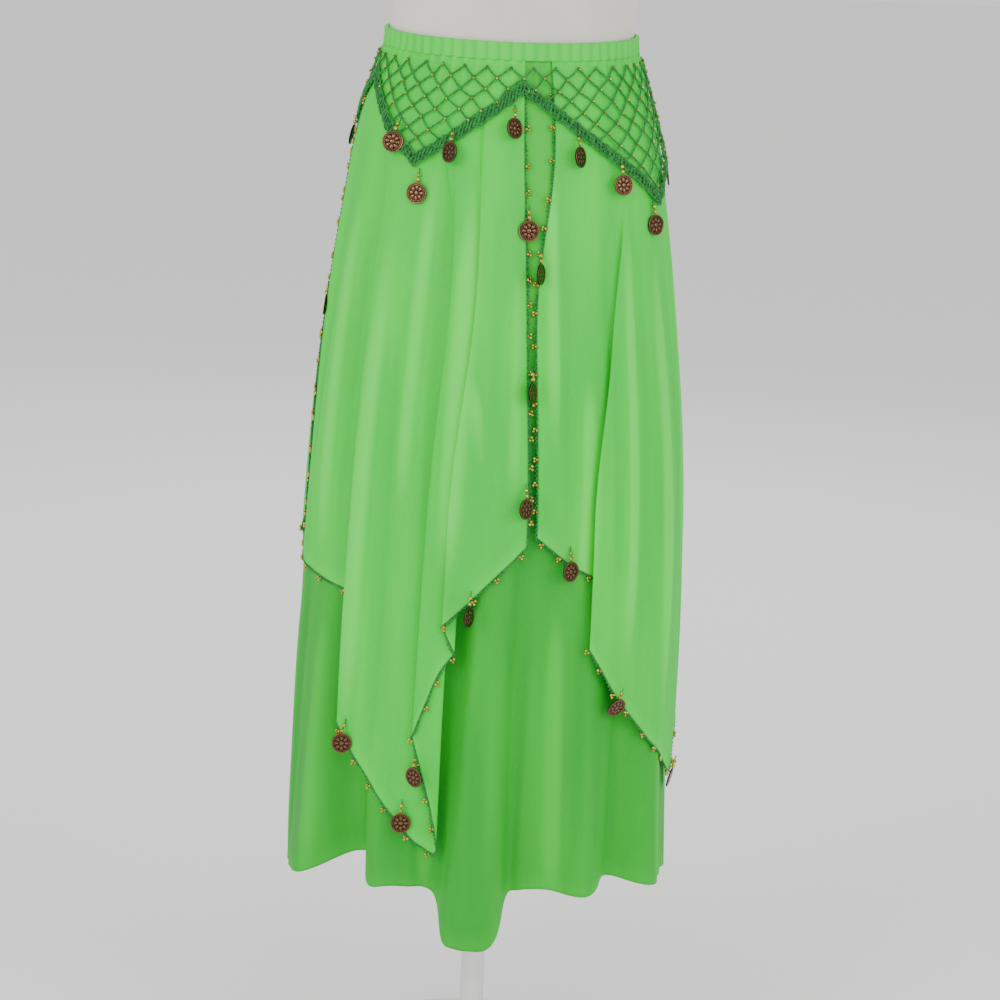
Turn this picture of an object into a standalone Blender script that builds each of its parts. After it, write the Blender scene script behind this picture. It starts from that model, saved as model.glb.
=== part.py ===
"""Belly dance skirt on a limbless dress form with a round stand.

Frame: the origin is on the floor, under the middle of the stand's foot. +Z is up,
the front of the skirt faces -Y, and +X is on the right of someone who looks at it.
Angles go round the skirt in degrees: 0 is the front, 90 is +X and 180 is the back.
Places on the skirt are an angle, a drop below the waistband's lower seam, and a lift,
which is how far the middle of the cloth stands out from the plain underskirt.
"""
import math

import bmesh
import bpy
import numpy as np
from mathutils import Vector

# Driving sizes, in metres
MM = 0.001
WAIST_HEIGHT = 1.088
WAIST_RISE = 0.003
CHIFFON = 1.0 * MM
CLEARANCE = 0.35 * MM
HIP_ROWS = (CLEARANCE, 0.040, 0.085, 0.130, 0.168, 0.210, 0.320, 0.430)
PANEL_LOW_ROWS = 3
UNDERSKIRT_LOW_ROWS = 4

# Waistband: a gathered elastic casing
BAND_HEIGHT = 0.018
BAND_THICKNESS = 4.2 * MM
BAND_GATHERS = 66
GATHER_DEPTH = 0.9 * MM

# The underskirt's plain shape: how wide and deep it is at each drop
SHAPE_COLUMNS = ("drop", "half_width", "half_depth", "shift_x")
SHAPE = (
    (-0.030, 0.1247, 0.0930, 0.0),
    (0.000, 0.1262, 0.0938, 0.0),
    (0.018, 0.1318, 0.0982, 0.0),
    (0.028, 0.1352, 0.1002, 0.0),
    (0.048, 0.1412, 0.1045, 0.0),
    (0.068, 0.1470, 0.1085, 0.0),
    (0.088, 0.1516, 0.1120, 0.0),
    (0.109, 0.1555, 0.1155, 0.0),
    (0.148, 0.1607, 0.1215, 0.0),
    (0.188, 0.1667, 0.1270, 0.0),
    (0.228, 0.1720, 0.1320, 0.0),
    (0.273, 0.1770, 0.1370, 0.0),
    (0.348, 0.1840, 0.1440, 0.0),
    (0.468, 0.1905, 0.1520, 0.0),
    (0.548, 0.1935, 0.1560, -0.001),
    (0.653, 0.1955, 0.1600, -0.003),
    (0.890, 0.1965, 0.1660, -0.004),
)

# Waves of the underskirt's front hem: where, how far out, how far down, how fast they grow
# towards the hem, and how far the middle of the fold leans to the side
HEM_COLUMNS = ("angle", "out_mm", "drop", "growth", "lean")
FRONT_HEM = (
    (-90, 0, 0.861, 3.5, 0.0),
    (-76, 5, 0.854, 3.5, 0.0),
    (-64, 17, 0.848, 3.5, 0.0),
    (-56, 21, 0.845, 3.5, 0.0),
    (-51, 6, 0.835, 3.5, 0.0),
    (-47, -18, 0.824, 3.5, 0.0),
    (-42, -26, 0.820, 3.5, 0.0),
    (-37.5, -18, 0.821, 3.5, 0.0),
    (-34.5, 0, 0.840, 3.5, 0.0),
    (-27, 7, 0.839, 3.5, 0.0),
    (-19, -3, 0.839, 3.2, 0.5),
    (-13, -8, 0.841, 3.0, 2.0),
    (-9.8, 2, 0.858, 2.4, 4.8),
    (-8.2, 24, 0.879, 1.9, 4.8),
    (-5, 38, 0.884, 1.9, 3.8),
    (0, 42, 0.885, 2.1, 1.5),
    (5, 40, 0.884, 2.5, 0.0),
    (7.8, 24, 0.874, 2.8, -0.5),
    (9.3, 2, 0.847, 2.8, -0.5),
    (13, -2, 0.837, 3.5, 0.0),
    (18, 0, 0.835, 3.5, 0.0),
    (24, 2, 0.836, 3.5, 0.0),
    (28.5, 17, 0.839, 3.5, 0.0),
    (33, 23, 0.840, 3.5, 0.0),
    (38, 13, 0.838, 3.5, 0.0),
    (44, -6, 0.834, 3.5, 0.0),
    (50, -8, 0.836, 3.5, 0.0),
    (55, 12, 0.843, 3.5, 0.0),
    (61, 19, 0.848, 3.5, 0.0),
    (68, 12, 0.850, 3.5, 0.0),
    (78, 3, 0.855, 3.5, 0.0),
    (90, 0, 0.860, 3.5, 0.0),
)
BACK_WAVES = 6
BACK_WAVE_OUT = 15
BACK_HEM_DROP = 0.862
BACK_HEM_RIPPLE = 0.004
WAVE_GROWTH = 3.5

# Overlay panels. A pleat turns under at a row whose turn is 1 and comes back out at a
# row whose turn is -1, which is the pleat's edge. Angles are given at the hip and low
# on the skirt, lifts above the underskirt in millimetres, hem as a drop.
PANEL_COLUMNS = ("hip_angle", "low_angle", "hip_lift", "low_lift", "hem", "turn")
FRONT_PANEL = (
    (-86, -84, 0.0, 1.0, 0.522, 0),
    (-72, -66, 0.0, 3.5, 0.530, 0),
    (-50, -46, 0.0, 4.0, 0.538, 0),
    (-39, -34, 1.4, 6.0, 0.572, 1),
    (-46, -44.5, 6.2, 11.0, 0.674, -1),
    (-32, -28.5, 6.0, 11.5, 0.744, 0),
    (-22, -17.5, 2.4, 8.0, 0.786, 0),
    (-12, -10.9, 0.0, 6.8, 0.800, 0),
    (-12, -10.7, 3.2, 10.6, 0.782, 0),
    (-13.5, -13.2, 4.6, 11.8, 0.744, 0),
    (-16, -18.9, 6.4, 14.0, 0.674, -1),
    (-8, -12.5, 5.0, 14.5, 0.605, 0),
    (-3, -8.2, 4.0, 14.5, 0.584, 1),
    (-7.5, -12.0, 9.0, 19.5, 0.556, -1),
    (1, -1, 7.0, 16.5, 0.515, 0),
    (8.4, 10.4, 1.5, 8.5, 0.474, 0),
)
RIGHT_PANEL = (
    (11.7, 13.6, 1.0, 5.0, 0.466, 0),
    (22, 24, 0.5, 4.0, 0.494, 0),
    (34, 34, 0.3, 4.0, 0.512, 0),
    (47, 42, 1.4, 5.5, 0.545, 1),
    (40, 31, 6.2, 11.0, 0.582, -1),
    (50, 41, 5.5, 12.5, 0.635, 0),
    (63, 57, 2.5, 11.5, 0.690, 0),
    (80, 78, 0.5, 6.0, 0.743, 0),
    (100, 104, 0.3, 7.0, 0.640, 0),
    (120, 124, 0.3, 4.5, 0.540, 0),
    (141, 142, 0.3, 2.5, 0.450, 0),
)
LEFT_PANEL = (
    (145, 146, 0.3, 2.5, 0.450, 0),
    (165, 163, 0.3, 4.0, 0.520, 0),
    (186, 183, 1.4, 7.0, 0.590, 1),
    (178, 173, 6.2, 11.5, 0.630, -1),
    (192, 192, 5.5, 12.5, 0.700, 0),
    (208, 209, 2.5, 12.0, 0.757, 0),
    (232, 231, 0.3, 6.0, 0.630, 0),
    (254, 252, 0.0, 4.5, 0.540, 0),
    (271, 273, 0.0, 1.5, 0.490, 0),
)
OVERLAY_PANELS = (
    ("overlay_front", FRONT_PANEL, -84, 6.3),
    ("overlay_right", RIGHT_PANEL, 18.4, 140),
    ("overlay_left", LEFT_PANEL, 143, 273),
)
OVERLAY_BASE = 2.2 * MM
HIP_START = 0.06
HIP_END = 0.25
LIFT_DROP = 0.12
TURN_START = 0.100
TURN_END = 0.210
LOW_START = 0.21
LOW_END = 0.45
PLEAT_BEND = 1.4
PLEAT_STEP = 0.4
LONG_STRETCH = 6.5

# Crocheted hip scarf: diamonds of net above a row of points with a solid border
NET_YARN = 1.8 * MM
NET_STRAND = 1.5 * MM
NET_PITCH = 10
NET_STEPS = 72
NET_ROWS = 16
NET_TOP = 0.006
NET_ROW = 0.0105
NET_BORDER = 0.008
NET_LIFT = OVERLAY_BASE + CHIFFON / 2 + CLEARANCE + NET_YARN / 2 + 0.8 * MM
NET_EDGE = (
    (-74, 0.030),
    (-34, 0.106),
    (6, 0.030),
    (67, 0.143),
    (122, 0.030),
    (160, 0.105),
    (198, 0.030),
    (242, 0.118),
    (286, 0.030),
)

# Coin drops: a coin under two beads, at an angle and a drop, moved out to sit on what is below
COIN_RADIUS = 10.5 * MM
COIN_THICKNESS = 1.6 * MM
BEAD_RADIUS = 2.3 * MM
COIN_REACH = 4
HEM_MARGIN = 0.02
COIN_COLUMNS = ("name", "angle", "drop", "out_mm")
SCARF_COINS = (
    ("coin_scarf_1", -43.5, 0.066, 0.00),
    ("coin_scarf_2", -31.5, 0.112, -3.70),
    ("coin_scarf_3", -20, 0.070, 0.00),
    ("coin_scarf_4", 2.5, 0.045, -4.40),
    ("coin_scarf_5", 27, 0.071, -3.50),
    ("coin_scarf_6", 44, 0.098, -0.20),
    ("coin_scarf_7", 62, 0.141, -4.90),
    ("coin_scarf_8", 88, 0.099, -0.90),
    ("coin_scarf_9", 108, 0.058, -0.30),
    ("coin_scarf_10", 140, 0.064, -0.20),
    ("coin_scarf_11", 160, 0.103, -0.60),
    ("coin_scarf_12", 181, 0.062, -0.20),
    ("coin_scarf_13", 220, 0.073, -0.90),
    ("coin_scarf_14", 242, 0.116, -3.30),
    ("coin_scarf_15", 264, 0.074, -0.30),
)
SLIT_COINS = (
    ("coin_slit_1", 8.5, 0.142, -3.50),
    ("coin_slit_2", 10.5, 0.300, -5.20),
    ("coin_slit_3", 9.5, 0.414, -5.60),
    ("coin_slit_4", 143.5, 0.190, 0.20),
    ("coin_slit_5", 144, 0.350, -0.90),
    ("coin_slit_6", 272.5, 0.245, -0.40),
    ("coin_slit_7", 12.5, 0.184, -3.00),
)
HEM_COINS = (
    ("coin_hem_1", -17.5, 0.694, -0.50),
    ("coin_hem_2", -40.5, 0.672, -0.30),
    ("coin_hem_3", -21, 0.745, -0.50),
    ("coin_hem_4", -4.5, 0.522, -1.50),
    ("coin_hem_5", 24, 0.480, -9.00),
    ("coin_hem_6", 41, 0.626, 6.80),
    ("coin_hem_7", 79, 0.728, 2.20),
    ("coin_hem_8", 112, 0.580, -0.70),
    ("coin_hem_9", 176, 0.622, -0.10),
    ("coin_hem_10", 209, 0.742, 5.80),
    ("coin_hem_11", 244, 0.560, -0.90),
)

# Dress form: heights above the waistband's seam, with the half width and the depth in front and behind
FORM_COLUMNS = ("above_waist", "half_width", "front", "back")
FORM = (
    (-0.278, 0.1480, 0.0940, 0.1080),
    (-0.233, 0.1560, 0.1000, 0.1150),
    (-0.173, 0.1580, 0.1080, 0.1150),
    (-0.133, 0.1530, 0.1080, 0.1120),
    (-0.093, 0.1450, 0.1040, 0.1060),
    (-0.063, 0.1360, 0.0985, 0.0990),
    (-0.033, 0.1275, 0.0940, 0.0940),
    (-0.003, 0.1242, 0.0918, 0.0918),
    (0.017, 0.1234, 0.0914, 0.0914),
    (0.057, 0.1260, 0.0940, 0.0860),
    (0.127, 0.1350, 0.1060, 0.0880),
    (0.202, 0.1450, 0.1240, 0.0960),
    (0.272, 0.1560, 0.1150, 0.0990),
    (0.332, 0.1650, 0.0880, 0.0860),
    (0.369, 0.1350, 0.0660, 0.0700),
    (0.392, 0.0720, 0.0540, 0.0580),
    (0.427, 0.0560, 0.0500, 0.0520),
)
FORM_SIDES = 28
POLE_RADIUS = 0.0125
FOOT_RADIUS = 0.15
FOOT_THICKNESS = 0.012
ROUND_SIDES = 32


def column(table, columns, name):
    """One named column of a table, as an array."""
    return np.array([row[columns.index(name)] for row in table], dtype=float)


def smooth(amount):
    """Eases from 0 to 1 as the amount goes from 0 to 1."""
    amount = min(max(amount, 0.0), 1.0)
    return amount * amount * (3 - 2 * amount)


def shape_at(drop):
    """Half width, half depth and sideways shift of the plain underskirt at a drop."""
    drops = column(SHAPE, SHAPE_COLUMNS, "drop")
    return [np.interp(drop, drops, column(SHAPE, SHAPE_COLUMNS, name)) for name in SHAPE_COLUMNS[1:]]


def place(angle, drop, lift=0.0):
    """The point at an angle and a drop, lifted straight out of the plain underskirt."""
    half_width, half_depth, shift = shape_at(drop)
    turn = math.radians(angle)
    across, along = math.sin(turn), -math.cos(turn)
    outward = Vector((half_depth * across, half_width * along, 0)).normalized()
    point = Vector((half_width * across + shift, half_depth * along, WAIST_HEIGHT - drop))
    point.z += WAIST_RISE * (1 - math.cos(turn)) * max(0.0, 1 - drop / HIP_END)
    return point + outward * lift


def material(name, colour, roughness, metallic=0.0):
    """A plain finish."""
    finish = bpy.data.materials.new(name)
    finish.use_nodes = True
    shader = finish.node_tree.nodes["Principled BSDF"]
    shader.inputs["Base Color"].default_value = (*colour, 1.0)
    shader.inputs["Roughness"].default_value = roughness
    shader.inputs["Metallic"].default_value = metallic
    return finish


def finish_piece(name, mesh, finish):
    """Names a finished bmesh, gives it its material and puts it in the scene."""
    bmesh.ops.recalc_face_normals(mesh, faces=mesh.faces)
    data = bpy.data.meshes.new(name)
    mesh.to_mesh(data)
    mesh.free()
    data.shade_smooth()
    data.set_sharp_from_angle(angle=math.radians(40))
    data.materials.append(finish)
    piece = bpy.data.objects.new(name, data)
    bpy.context.collection.objects.link(piece)
    return piece


def give_thickness(piece, thickness):
    """Turns a sheet into a wall, half of it on each side of the sheet."""
    wall = piece.modifiers.new("wall", "SOLIDIFY")
    wall.thickness = thickness
    wall.offset = 0.0


def sheet(name, lines, finish, thickness=CHIFFON):
    """A wall of cloth through lines of points that run down it, one for each station."""
    across, down = len(lines), len(lines[0])
    mesh = bmesh.new()
    bmesh.ops.create_grid(mesh, x_segments=across - 1, y_segments=down - 1, size=1)
    mesh.verts.ensure_lookup_table()
    for number, vertex in enumerate(mesh.verts):
        vertex.co = lines[number % across][number // across]
    piece = finish_piece(name, mesh, finish)
    give_thickness(piece, thickness)
    return piece


def stack(name, rings, finish, closed=False):
    """A solid through rings of points: capped at both ends, or closed on itself."""
    mesh = bmesh.new()
    loops = [[mesh.verts.new(point) for point in ring] for ring in rings]
    pairs = list(zip(loops, loops[1:]))
    if closed:
        pairs.append((loops[-1], loops[0]))
    else:
        mesh.faces.new(loops[0])
        mesh.faces.new(loops[-1])
    for low, high in pairs:
        for number in range(len(low)):
            after = (number + 1) % len(low)
            mesh.faces.new((low[number], low[after], high[after], high[number]))
    return finish_piece(name, mesh, finish)


def waistband(finish):
    """The elastic casing, with its gathers raised on the outside."""
    rings = []
    for number in range(BAND_GATHERS * 2):
        angle = 180 * number / BAND_GATHERS
        ridge = GATHER_DEPTH * (number % 2)
        outer = OVERLAY_BASE + CHIFFON / 2 + ridge
        inner = outer - ridge - BAND_THICKNESS
        rings.append((
            place(angle, 0.0, inner),
            place(angle, 0.0, outer),
            place(angle, -BAND_HEIGHT, outer),
            place(angle, -BAND_HEIGHT, inner),
        ))
    return stack("waistband", rings, finish, closed=True)


def row_drops(hem, low_rows):
    """Drops of a line of points: the same for every piece over the hips, then even to the hem."""
    last = HIP_ROWS[-1]
    return list(HIP_ROWS) + [last + (hem - last) * (row + 1) / low_rows for row in range(low_rows)]


def wave_point(wave, drop):
    """A point of a wave at a drop: folds lean most half way down."""
    angle, out_mm, hem, growth, lean = wave
    share = drop / hem
    return place(angle + lean * 4 * share * (1 - share), drop, out_mm * MM * share ** growth)


def underskirt(name, waves, finish):
    """Half of the underskirt, whose waves grow towards the hem."""
    lines = []
    for wave in waves:
        lines.append([wave_point(wave, drop) for drop in row_drops(wave[2], UNDERSKIRT_LOW_ROWS)])
    return sheet(name, lines, finish)


def front_waves():
    """The front hem's table, smoothed to a station every few degrees."""
    angles = column(FRONT_HEM, HEM_COLUMNS, "angle")
    middles = (angles[1:] + angles[:-1]) / 2
    stations = np.sort(np.concatenate([angles, middles[np.diff(angles) > 3]]))
    inset = np.clip(stations, -90 + 0.1, 90 - 0.1)
    between = [smooth_values(stations, angles, column(FRONT_HEM, HEM_COLUMNS, name)) for name in HEM_COLUMNS[1:]]
    return list(zip(inset, *between))


def smooth_values(stations, angles, values):
    """Reads a table between its rows along a curve that keeps to the rows' slopes."""
    slopes = np.gradient(values, angles)
    result = []
    for station in stations:
        row = min(max(int(np.searchsorted(angles, station)) - 1, 0), len(angles) - 2)
        span = angles[row + 1] - angles[row]
        part = (station - angles[row]) / span
        start = (1 + 2 * part) * (1 - part) ** 2 * values[row]
        end = part * part * (3 - 2 * part) * values[row + 1]
        bend = part * (1 - part) * span * ((1 - part) * slopes[row] - part * slopes[row + 1])
        result.append(float(start + end + bend))
    return result


def back_waves():
    """Even waves round the back hem, which die out at the side seams."""
    waves = []
    count = BACK_WAVES * 5
    for number in range(count + 1):
        part = number / count
        swing = math.sin(2 * math.pi * BACK_WAVES / 2 * part)
        angle = 90 + 0.1 + (180 - 0.2) * part
        hem = BACK_HEM_DROP + BACK_HEM_RIPPLE * swing
        waves.append((angle, BACK_WAVE_OUT * swing, hem, WAVE_GROWTH, 0.0))
    return waves


def panel_stations(rows):
    """Stations across a panel: each pleat turn has two, and long stretches are divided."""
    stations = []
    for row in rows:
        values = np.array(row, dtype=float)
        turn = values[PANEL_COLUMNS.index("turn")]
        sides = (-1, 1) if turn else (0,)
        for side in sides:
            station = np.append(values, side)
            if stations:
                before = stations[-1]
                reach = abs(station[1] - before[1])
                pieces = max(1, round(reach / LONG_STRETCH))
                for piece in range(1, pieces):
                    between = before + (station - before) * piece / pieces
                    between[-1] = before[-1] if piece == 1 and before[5] else 0
                    between[-1] = -1 if piece == pieces - 1 and turn else between[-1]
                    between[5] = 0
                    stations.append(between)
            stations.append(station)
    return stations


def top_shares(stations):
    """How far across the panel each station lies, from 0 to 1."""
    low = np.array([station[1] for station in stations])
    reach = np.concatenate([[0], np.cumsum(np.abs(np.diff(low)) + 0.35)])
    return reach / reach[-1]


def pleated(station, top_angle, drop):
    """Angle and lift of a station at a drop."""
    hip_angle, low_angle, hip_lift, low_lift, _, _, side = station
    hip = smooth((drop - HIP_START) / (HIP_END - HIP_START))
    low = smooth((drop - LOW_START) / (LOW_END - LOW_START))
    turned = smooth((drop - TURN_START) / (TURN_END - TURN_START))
    angle = top_angle + (hip_angle - top_angle) * hip + (low_angle - hip_angle) * low
    angle += side * PLEAT_STEP * (1 - turned)
    lift = hip_lift * smooth(drop / LIFT_DROP) + (low_lift - hip_lift) * low
    lift += side * PLEAT_BEND * turned
    return angle, OVERLAY_BASE + max(lift, 0.0) * MM


def overlay_panel(name, rows, first, last, finish):
    """One handkerchief panel of the overlay."""
    stations = panel_stations(rows)
    lines = []
    for station, share in zip(stations, top_shares(stations)):
        top_angle = first + (last - first) * share
        line = []
        for drop in row_drops(station[4], PANEL_LOW_ROWS):
            angle, lift = pleated(station, top_angle, drop)
            line.append(place(angle, drop, lift))
        lines.append(line)
    return sheet(name, lines, finish)


def outermost(angle, drop):
    """Lift of the overlay's outermost layer at an angle and a drop."""
    best = 0.0
    for _, rows, first, last in OVERLAY_PANELS:
        stations = panel_stations(rows)
        places = []
        for station, share in zip(stations, top_shares(stations)):
            if station[4] + HEM_MARGIN > drop:
                places.append(pleated(station, first + (last - first) * share, drop))
        for (angle_a, lift_a), (angle_b, lift_b) in zip(places, places[1:]):
            for asked in (angle - 360, angle, angle + 360):
                if min(angle_a, angle_b) - 3 <= asked <= max(angle_a, angle_b) + 3:
                    best = max(best, lift_a, lift_b)
    return max(best, OVERLAY_BASE)


def widest(angle, drop):
    """The outermost layer's lift over the width of a coin."""
    return max(outermost(angle + aside, drop) for aside in (-COIN_REACH, 0, COIN_REACH))


def net_edge(angle):
    """Drop of the scarf's lower edge at an angle."""
    first = NET_EDGE[0][0]
    wrapped = (angle - first) % 360 + first
    return float(np.interp(wrapped, [row[0] for row in NET_EDGE], [row[1] for row in NET_EDGE]))


def net_point(angle, drop, centre):
    """A point of the net, over the overlay, drawn in a little from the other half."""
    drawn = centre + (angle - centre) * 0.997
    return place(drawn, drop, max(NET_LIFT, outermost(drawn, drop) + NET_LIFT - OVERLAY_BASE))


def scarf_cells():
    """Steps and rows of all the diamonds: steps are half a pitch, every other one is used."""
    cells = []
    for row in range(1, NET_ROWS):
        for step in range(row % 2 - NET_STEPS // 4, NET_STEPS * 3 // 4, 2):
            room = net_edge(step * NET_PITCH / 2) - NET_BORDER
            if row == 1 or NET_TOP + (row + 0.2) * NET_ROW < room:
                cells.append((step, row))
    return cells


def border_seats(cells):
    """For each half pitch, the lowest diamond over it and the side it is on."""
    seats = {}
    for step, row in cells:
        for side in (-1, 1):
            left = min(step, step + side) % NET_STEPS
            if row > seats.get(left, (0, 0, 0))[0]:
                seats[left] = (row, step, side)
    return seats.values()


def scarf_half(name, centre, finish):
    """Half of the hip scarf: an open diamond net with a solid border below."""
    mesh = bmesh.new()
    corners = {}
    first_step = round((centre - 90) * 2 / NET_PITCH)
    own_steps = range(first_step, first_step + NET_STEPS // 2)

    def corner(step, row):
        if (step, row) not in corners:
            drop = NET_TOP + row * NET_ROW
            corners[step, row] = mesh.verts.new(net_point(step * NET_PITCH / 2, drop, centre))
        return corners[step, row]

    open_cells = []
    for step, row in scarf_cells():
        if step in own_steps:
            open_cells.append(mesh.faces.new((
                corner(step - 1, row),
                corner(step, row - 1),
                corner(step + 1, row),
                corner(step, row + 1),
            )))
    lows = {}

    def low_corner(step, row):
        if step not in lows:
            angle = step * NET_PITCH / 2
            drop = max(net_edge(angle), NET_TOP + row * NET_ROW + NET_BORDER / 2)
            lows[step] = mesh.verts.new(net_point(angle, drop, centre))
        return lows[step]

    for row, step, side in border_seats(scarf_cells()):
        if step in own_steps:
            mesh.faces.new((
                corner(step + side, row),
                corner(step, row + 1),
                low_corner(step, row + 1),
                low_corner(step + side, row),
            ))
    bmesh.ops.recalc_face_normals(mesh, faces=mesh.faces)
    bmesh.ops.inset_individual(mesh, faces=open_cells, thickness=NET_STRAND, use_even_offset=True)
    bmesh.ops.delete(mesh, geom=open_cells, context="FACES")
    piece = finish_piece(name, mesh, finish)
    give_thickness(piece, NET_YARN)
    return piece


def coin_outline():
    """Half widths and drops of a coin drop: two beads on a thread and a coin."""
    neck = 0.9 * MM
    outline = []
    for bead in range(2):
        middle = BEAD_RADIUS * (1 + 2.2 * bead)
        outline.append((neck, middle - BEAD_RADIUS))
        outline.append((BEAD_RADIUS, middle))
    below_beads = BEAD_RADIUS * 4.4
    start = math.asin(neck / COIN_RADIUS)
    for number in range(6):
        turn = start + (math.pi - start) * number / 5.6
        outline.append((COIN_RADIUS * math.sin(turn), below_beads + COIN_RADIUS * (1 - math.cos(turn))))
    return outline


def coin_drop(name, angle, drop, out_mm, over_net, finish):
    """A coin and its beads, lying just clear of the cloth below its seat."""
    outline = coin_outline()
    length = outline[-1][1]
    seat = NET_LIFT - OVERLAY_BASE + NET_YARN / 2 if over_net else 0.0
    clear = CHIFFON / 2 + CLEARANCE + COIN_THICKNESS / 2 + seat + out_mm * MM
    top = place(angle, drop, widest(angle, drop) + clear)
    bottom = place(angle, drop + length, widest(angle, drop + length) + clear)
    down = (bottom - top).normalized()
    side = place(angle + COIN_REACH, drop) - place(angle - COIN_REACH, drop)
    out = side.cross(down).normalized()
    side = down.cross(out)
    mirrored = [(-half, low) for half, low in reversed(outline)]
    rings = []
    for depth in (-COIN_THICKNESS / 2, COIN_THICKNESS / 2):
        rings.append([top + side * half + down * low + out * depth for half, low in outline + mirrored])
    return stack(name, rings, finish)


def dress_form(finish):
    """A plain torso that ends in a flat cut at the thighs and at the neck."""
    rings = []
    for above_waist, half_width, front, back in FORM:
        ring = []
        for number in range(FORM_SIDES):
            turn = 2 * math.pi * number / FORM_SIDES
            depth = front if math.cos(turn) > 0 else back
            ring.append(Vector((half_width * math.sin(turn), -depth * math.cos(turn), WAIST_HEIGHT + above_waist)))
        rings.append(ring)
    return stack("form_torso", rings, finish)


def turned(name, profile, finish):
    """A round solid through radii and heights."""
    rings = []
    for radius, height in profile:
        ring = []
        for number in range(ROUND_SIDES):
            turn = 2 * math.pi * number / ROUND_SIDES
            ring.append(Vector((radius * math.cos(turn), radius * math.sin(turn), height)))
        rings.append(ring)
    return stack(name, rings, finish)


def stand(finish):
    """The foot plate and the pole that carries the form."""
    edge = 3 * MM
    turned("stand_foot", (
        (FOOT_RADIUS, 0.0),
        (FOOT_RADIUS, FOOT_THICKNESS - edge),
        (FOOT_RADIUS - edge, FOOT_THICKNESS),
    ), finish)
    form_bottom = WAIST_HEIGHT + FORM[0][0]
    turned("stand_pole", (
        (POLE_RADIUS, FOOT_THICKNESS + CLEARANCE),
        (POLE_RADIUS, form_bottom - CLEARANCE),
    ), finish)


def main():
    """Builds the skirt from the inside out."""
    for thing in list(bpy.data.objects):
        bpy.data.objects.remove(thing)
    under_green = material("underskirt_chiffon", (0.09, 0.36, 0.08), 0.55)
    over_green = material("overlay_chiffon", (0.17, 0.56, 0.15), 0.5)
    yarn = material("crochet_yarn", (0.03, 0.30, 0.10), 0.75)
    brass = material("coin_brass", (0.30, 0.20, 0.10), 0.4, 1.0)
    form_white = material("form_plastic", (0.80, 0.80, 0.80), 0.25)
    stand_white = material("stand_enamel", (0.82, 0.82, 0.82), 0.35)

    stand(stand_white)
    dress_form(form_white)
    waistband(over_green)
    underskirt("underskirt_front", front_waves(), under_green)
    underskirt("underskirt_back", back_waves(), under_green)
    for name, rows, first, last in OVERLAY_PANELS:
        overlay_panel(name, rows, first, last, over_green)
    scarf_half("scarf_front", 0, yarn)
    scarf_half("scarf_back", 180, yarn)
    for coin in SCARF_COINS:
        coin_drop(*coin, True, brass)
    for coin in SLIT_COINS + HEM_COINS:
        coin_drop(*coin, False, brass)


main()
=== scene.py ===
# %% [markdown]
# Belly dance skirt on a dress form.
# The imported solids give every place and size. This file dresses them: chiffon with soft folds,
# a crocheted hip scarf, beaded edgings, coins with relief and the glossy form that carries it.
# Everything is in metres. The front of the skirt faces -Y and +Z is up.

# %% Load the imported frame
import math
import random

import bmesh
import bpy
import numpy as np
from mathutils import Matrix, Vector


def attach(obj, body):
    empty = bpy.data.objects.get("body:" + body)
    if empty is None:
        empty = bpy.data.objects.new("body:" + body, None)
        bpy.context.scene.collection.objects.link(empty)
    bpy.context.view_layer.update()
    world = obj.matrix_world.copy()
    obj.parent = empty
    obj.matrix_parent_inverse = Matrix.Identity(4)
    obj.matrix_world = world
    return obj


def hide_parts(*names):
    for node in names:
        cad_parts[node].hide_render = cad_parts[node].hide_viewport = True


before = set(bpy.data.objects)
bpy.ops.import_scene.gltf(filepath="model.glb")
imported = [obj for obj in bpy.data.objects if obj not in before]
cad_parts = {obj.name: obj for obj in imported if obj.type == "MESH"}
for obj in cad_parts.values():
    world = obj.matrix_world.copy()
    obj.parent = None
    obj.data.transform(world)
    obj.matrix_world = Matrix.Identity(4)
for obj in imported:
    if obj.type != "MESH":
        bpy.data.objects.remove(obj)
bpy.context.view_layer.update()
MM = 0.001
print("loaded", len(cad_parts), "nodes")

# %% [markdown]
# The picture was taken from a little above the waist with a long lens, so the waistband shows
# as a shallow curve and the hem turns away from us. The camera rolls by two degrees because the
# form stands a little askew in the picture. A long lens keeps upright lines upright.

# %% Camera
CAMERA_PLACE = Vector((0.0, -3.4, 1.415))
CAMERA_AIM = Vector((0.008, 0.0, 0.623))
CAMERA_ROLL = 2.45
CAMERA_LENS = 120.7
camera_data = bpy.data.cameras.new("camera")
camera_data.lens = CAMERA_LENS
camera_data.sensor_width = 36
camera = bpy.data.objects.new("camera", camera_data)
bpy.context.scene.collection.objects.link(camera)
gaze = (CAMERA_AIM - CAMERA_PLACE).to_track_quat("-Z", "Y").to_matrix().to_4x4()
camera.matrix_world = Matrix.Translation(CAMERA_PLACE) @ gaze @ Matrix.Rotation(math.radians(CAMERA_ROLL), 4, "Z")
bpy.context.scene.camera = camera

# %% [markdown]
# Chiffon looks best in broad soft light: large area lights on both sides let the folds show as
# gentle changes of green, and one smaller light draws the streak on the glossy form. The floor
# and the surroundings are pale and plain.

# %% Light and floor
FLOOR_SIZE = 30.0


def soft_light(name, place, aim, size, watts):
    """A square light that points at a place."""
    data = bpy.data.lights.new(name, "AREA")
    data.shape = "SQUARE"
    data.size = size
    data.energy = watts
    lamp = bpy.data.objects.new(name, data)
    lamp.matrix_world = Matrix.Translation(place) @ (aim - place).to_track_quat("-Z", "Y").to_matrix().to_4x4()
    bpy.context.scene.collection.objects.link(lamp)
    return lamp


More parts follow.
